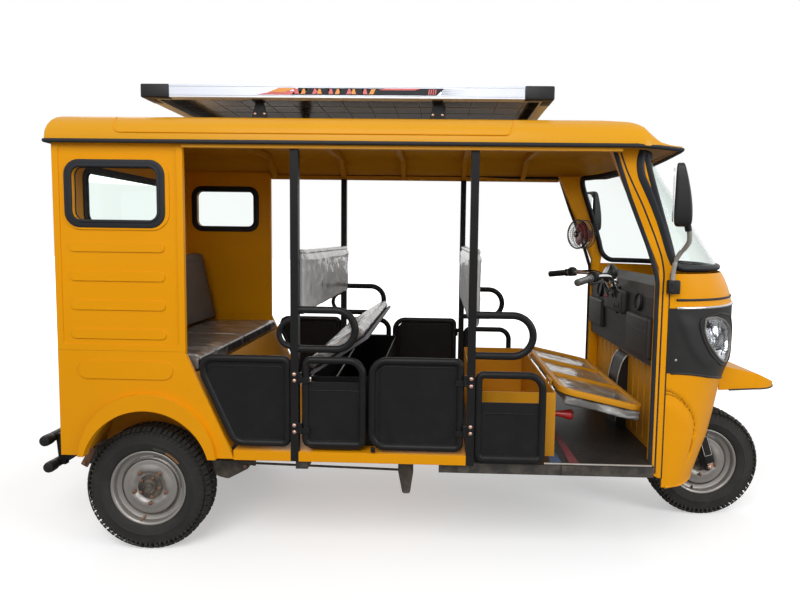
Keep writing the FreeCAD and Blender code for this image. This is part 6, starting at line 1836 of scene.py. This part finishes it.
def makePanel():
    x0, x1 = panelBox["x"]
    z0, z1 = panelBox["z"]
    half = panelBox["y"]
    caps = []
    for side in (-1, 1):
        for xa, xb in ((x0 - 0.003, x0 + 0.119), (x1 - 0.119, x1 + 0.003)):
            ya, yb = sorted((side * (half - 0.036), side * (half + 0.003)))
            caps.append(blockMesh((xa, ya, z0 - 0.003), (xb, yb, z1 + 0.002), 0.0065, 3))
            end = (xa, xa + 0.045) if xa < -0.5 else (xb - 0.045, xb)
            yc, yd = sorted((side * (half - 0.115), side * (half - 0.02)))
            caps.append(blockMesh((end[0], yc, z0 - 0.003), (end[1], yd, z1 + 0.002), 0.0065, 3))
    onBody("panelCornerCaps", joined(caps, "caps"), blackPlastic, (), 40)
    grooves = []
    for side in (-1, 1):
        for z in (z0 + 0.009, z1 - 0.007):
            grooves.append(blockMesh((x0 + 0.118, min(side * half, side * (half + 0.0016)), z - 0.0016),
                                     (x1 - 0.118, max(side * half, side * (half + 0.0016)), z + 0.0016),
                                     0.0005, 1))
    for x, way in ((x0, -1), (x1, 1)):
        for z in (z0 + 0.009, z1 - 0.007):
            grooves.append(blockMesh((min(x, x + way * 0.0016), -half + 0.11, z - 0.0016),
                                     (max(x, x + way * 0.0016), half - 0.11, z + 0.0016), 0.0005, 1))
    for y in (-half + 0.045, half - 0.045):
        grooves.append(blockMesh((x0 + 0.03, y - 0.004, z0 - 0.0005), (x1 - 0.03, y + 0.004, z0 + 0.004),
                                 0.001, 1))
    for x in (x0 + 0.041, x1 - 0.041):
        grooves.append(blockMesh((x - 0.006, -half + 0.04, z0 - 0.0005),
                                 (x + 0.006, half - 0.04, z0 + 0.004), 0.001, 1))
    onBody("panelRailRibs", joined(grooves, "ribs"), aluRail, (), 40)
    under = z1 - 0.0085
    sheet = plate([(x0 + 0.006, -half + 0.006, under), (x0 + 0.006, half - 0.006, under),
                   (x1 - 0.006, half - 0.006, under),
                   (x1 - 0.006, -half + 0.006, under)], 0.0012, 0)
    top = plate([(x0 + 0.012, -half + 0.012, z1 - 0.0005), (x1 - 0.012, -half + 0.012, z1 - 0.0005),
                 (x1 - 0.012, half - 0.012, z1 - 0.0005),
                 (x0 + 0.012, half - 0.012, z1 - 0.0005)], 0.0012, 0)
    onBody("panelCells", joined([sheet, top], "cells"), cellBrown, (), 0)
    lines = []
    pitch = panelBox["cell"]
    count = int((x1 - x0) / pitch)
    for k in range(1, count + 1):
        x = (x0 + x1) / 2 + (k - (count + 1) / 2) * pitch
        for z in (under - 0.0016, z1 + 0.0006):
            lines.append(blockMesh((x - 0.0014, -half + 0.01, z - 0.0004),
                                   (x + 0.0014, half - 0.01, z + 0.0005)))
    for k in range(-3, 4):
        y = k * pitch * 1.12
        for z in (under - 0.0016, z1 + 0.0006):
            lines.append(blockMesh((x0 + 0.01, y - 0.0014, z - 0.0004), (x1 - 0.01, y + 0.0014, z + 0.0005)))
    onBody("panelGrid", joined(lines, "grid"), gridWhite, (), 0)


stripeBand = (1.9535, 1.9815)


def slanted(x0, x1, low, high, lean, proud):
    # a leaning strip on the near and far rails
    z0, z1 = stripeBand
    za, zb = z0 + (z1 - z0) * low, z0 + (z1 - z0) * high
    y = panelBox["y"] + proud
    parts = []
    for side in (-1, 1):
        corners = [(x0, side * y, za), (x1, side * y, za), (x1 + lean, side * y, zb),
                   (x0 + lean, side * y, zb)]
        parts.append(plate(corners if side < 0 else corners[::-1], -0.0006, 0))
    return joined(parts, "slanted")


def makeStripes():
    black = [slanted(-0.560, 0.040, 0.0, 1.0, 0.030, 0.0010)]
    red = [slanted(-0.705, -0.560, 0.0, 0.55, 0.085, 0.0010), slanted(-0.20, -0.05, 0.72, 1.0, 0.03, 0.0016)]
    orange = [slanted(-0.655, -0.585, 0.35, 1.0, 0.045, 0.0016)]
    pitch = 0.0225
    for k in range(14):
        x = -0.545 + k * pitch * 1.05
        group = (red, orange, black)[k % 3]
        group.append(slanted(x, x + pitch * 0.8, 0.12, 0.88, 0.010 if k % 2 else -0.006, 0.0018))
    for k in range(4):
        red.append(slanted(0.005 + 0.009 * k, 0.010 + 0.009 * k, 0.1, 0.9, 0.004, 0.0018))
    for k in range(16):
        for row in range(4):
            size = 0.0042 * (1 - k / 17)
            x = 0.060 + 0.0085 * k + (0.004 if row % 2 else 0)
            low = 0.06 + 0.24 * row
            black.append(slanted(x, x + size, low, low + size / 0.028 * 1.1, 0.0, 0.0010))
    onBody("stripeBlack", joined(black, "black"), rubberBlack, (), 0)
    onBody("stripeRed", joined(red, "red"), redPlastic, (), 0)
    onBody("stripeOrange", joined(orange, "orange"), stripeOrange, (), 0)


def bracketBolts():
    bolts = []
    for x in (-0.713, 0.045):
        for side in (-1, 1):
            for dx in (-0.020, 0.020):
                bolts.append(pointing(domeMesh(0.0065, 0.004), (0, side, 0), (x + dx, side * 0.4165, 1.889)))
                bolts.append(pointing(nutMesh(0.0075, 0.006), (0, 0, 1), (x + dx, side * 0.402, 1.8835)))
    onBody("panelFeetBolts", joined(bolts, "bolts"), copperBolt, (), 40)


makePanel()
makeStripes()
bracketBolts()
print("roof panel dressed")


# cab inside: dashboard, column cover, press lines and marks
def makeCab():
    ring = lathe([(0.043, 0.0), (0.043, 0.006), (0.038, 0.009), (0.034, 0.006), (0.034, 0.002),
                  (0.0, 0.002), (0.0, 0.0)], 36)
    speakers = [pointing(ring, (-1, 0, 0.12), (0.958, y, 1.100)) for y in (-0.306, 0.306)]
    onBody("dashSpeakers", joined(speakers, "speakers"), blackPlastic, (), 40)
    box = blockMesh((0.934, -0.485, 0.872), (0.963, -0.205, 1.046), 0.012, 4)
    seam = pipe([(0.9335, -0.470, 0.985), (0.9335, -0.220, 0.985)], 0.0022, 0, False, 2)
    pod = blockMesh((0.930, -0.150, 1.020), (0.965, 0.150, 1.130), 0.016, 4)
    tray = blockMesh((0.938, 0.215, 0.900), (0.963, 0.470, 1.050), 0.012, 4)
    onBody("dashBoxes", joined([box, pod, tray], "boxes"), dashPlastic, (), 45)
    onBody("dashSeams", seam, rubberBlack, (), 40)
    knobs = [pointing(domeMesh(0.007, 0.006), (-1, 0, 0), (0.9295, y, 1.085)) for y in (0.105, 0.080)]
    onBody("dashRedMarks", joined(knobs, "marks"), redPlastic, (), 40)
    switches = [blockMesh((0.926, y - 0.009, 1.044), (0.931, y + 0.009, 1.070), 0.002, 2)
                for y in (-0.100, -0.070, -0.040)]
    onBody("dashSwitches", joined(switches, "switches"), blackPlastic, (), 40)
    lines = []
    for y in (0.150, 0.225, 0.300, 0.375, 0.450):
        lines.append(pipe([(bulkheadX - 0.0005, y, 0.475), (bulkheadX - 0.0005, y, 0.815)], 0.0030, 0,
                          False, 2))
    onBody("bulkheadPressLines", bothSides(joined(lines, "lines"), "lines"), innerShadePaint, (), 40)
    x = bulkheadX
    edge = [(x - 0.052, -0.0715, 0.480), (x - 0.052, -0.0715, 0.690), (x - 0.028, -0.0715, 0.788),
            (x - 0.002, -0.0715, 0.812)]
    strips = [pipe([(px, side * py, pz) for px, py, pz in edge], 0.0032, 0.03, False, 2) for side in (-1, 1)]
    onBody("coverEdges", joined(strips, "edges"), zincSteel, (), 40)
    tag = plate([(x - 0.003, 0.080, 0.815), (x - 0.003, 0.100, 0.815), (x - 0.003, 0.098, 0.740),
                 (x - 0.003, 0.082, 0.740)], 0.002, 0)
    onBody("redStrip", tag, redPlastic, (), 0)


def blackenCover():
    mesh = nodes["bulkhead"].data
    mesh.materials.append(blackPlastic)
    front = min(v.co.x for v in mesh.vertices if abs(v.co.y) > 0.3)
    for face in mesh.polygons:
        if abs(face.center.y) < 0.0715 and face.center.x < front - 0.0002:
            face.material_index = len(mesh.materials) - 1
    return front


bulkheadX = blackenCover()
makeCab()
print("cab dressed")


# beak bead, bumper ends and door catches
def makeSmallTrim():
    half, tip = 0.150, beak["x"][1]
    bead = [(1.440, -0.180, 0.674), (1.571, -0.1505, 0.674)]
    bead += [(tip - half + half * math.sin(math.pi * k / 16), -half * math.cos(math.pi * k / 16),
              0.674) for k in range(1, 16)]
    bead += [(1.571, 0.1505, 0.674), (1.440, 0.180, 0.674)]
    onBody("beakBead", pipe(bead, 0.0038, 0, False, 3), rubberBlack, (), 40)
    ends = []
    for x, z in ((-1.697, 0.437), (-1.683, 0.316)):
        for side in (-1, 1):
            cap = lathe([(0.0, 0.0), (0.0225, 0.0), (0.0245, 0.006), (0.0250, 0.020), (0.0250, 0.036),
                         (0.0225, 0.046), (0.012, 0.050), (0.0, 0.0505)], 28)
            ends.append(pointing(cap, (0, side, 0), (x, side * 0.378, z)))
    onBody("bumperEnds", joined(ends, "ends"), blackPlastic, (), 40)
    catch = blockMesh((-0.206, 0.598, 0.494), (-0.188, 0.608, 0.514), 0.002, 2)
    onBody("doorCatches", bothSides(catch, "catches"), blackFrame, (), 40)


makeSmallTrim()


# fork covers with a blank plate, spring links and hangers
def towards(mesh, start, end):
    # a mesh made up +Z is stood at a place and leant at another
    way = (Vector(end) - Vector(start)).normalized()
    side = Vector((0, 1, 0))
    ahead = side.cross(way).normalized()
    turn = Matrix((ahead, side, way)).transposed().to_4x4()
    return moved(mesh, Matrix.Translation(start) @ turn)


def makeForkCovers():
    covers, plates, ends = [], [], []
    for side in (-1, 1):
        top, low = (1.350, side * 0.104, 0.452), (1.402, side * 0.104, 0.292)
        covers.append(towards(blockMesh((-0.024, -0.016, 0.0), (0.024, 0.016, 0.170), 0.008, 3), top, low))
        y0, y1 = sorted((side * 0.0155, side * 0.0170))
        for x0, x1, z0, z1 in ((-0.0185, -0.0160, 0.030, 0.128), (0.0160, 0.0185, 0.030, 0.128),
                               (-0.0185, 0.0185, 0.030, 0.0325), (-0.0185, 0.0185, 0.1255, 0.128)):
            plates.append(towards(blockMesh((x0, y0, z0), (x1, y1, z1)), top, low))
        bracket = blockMesh((-0.014, -0.006, 0.165), (0.014, 0.006, 0.196), 0.003, 2)
        ends.append(towards(bracket, top, low))
        ends.append(pointing(joined([nutMesh(0.0115, 0.010), domeMesh(0.0075, 0.015)], "nut"), (0, side, 0),
                             (1.399, side * 0.1105, 0.272)))
    asPiece("forkCovers", joined(covers, "covers"), blackPlastic, "steering", (), 40)
    asPiece("forkPlateEdges", joined(plates, "edges"), gridWhite, "steering", (), 0)
    asPiece("forkNuts", joined(ends, "ends"), copperBolt, "steering", (), 40)


def makeLinks():
    rusty, black, bolts = [], [], []
    for side in (-1, 1):
        y = side * 0.430
        link = blockMesh((-0.017, -0.005, -0.010), (0.017, 0.005, 0.098), 0.004, 2)
        rusty.append(towards(link, (-1.466, y, 0.420), (-1.508, y, 0.342)))
        for x, z in ((-1.466, 0.420), (-1.505, 0.348)):
            bolts.append(pointing(nutMesh(0.008, 0.007), (0, side, 0), (x, y + side * 0.005, z)))
        outline = [(-0.945, 0.372), (-0.752, 0.370), (-0.772, 0.338), (-0.862, 0.290), (-0.905, 0.300),
                   (-0.945, 0.330)]
        corners = [(x, y, z) for x, z in outline]
        black.append(plate(corners if side < 0 else corners[::-1], 0.006, 0.001, 0.008))
        bolts.append(pointing(nutMesh(0.009, 0.008), (0, side, 0), (-0.782, y + side * 0.006, 0.352)))
    onBody("springLinks", joined(rusty, "links"), rustyPlate, (), 40)
    onBody("springHangers", joined(black, "hangers"), blackUnder, (), 40)
    onBody("springBolts", joined(bolts, "bolts"), rustyBolt, (), 40)


def flattenTails():
    # the lamps lie close to the wall, so they don't stand out past its edge
    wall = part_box("tail_lamps")[1].x

    def lampMove(co):
        co.x = wall + (co.x - wall) * 0.35
        return co

    onBody("tailLampSkins", reshaped("tail_lamps", lampMove), redPlastic, ["tail_lamps"], 40)


makeForkCovers()
makeLinks()
flattenTails()
print("small trim made")
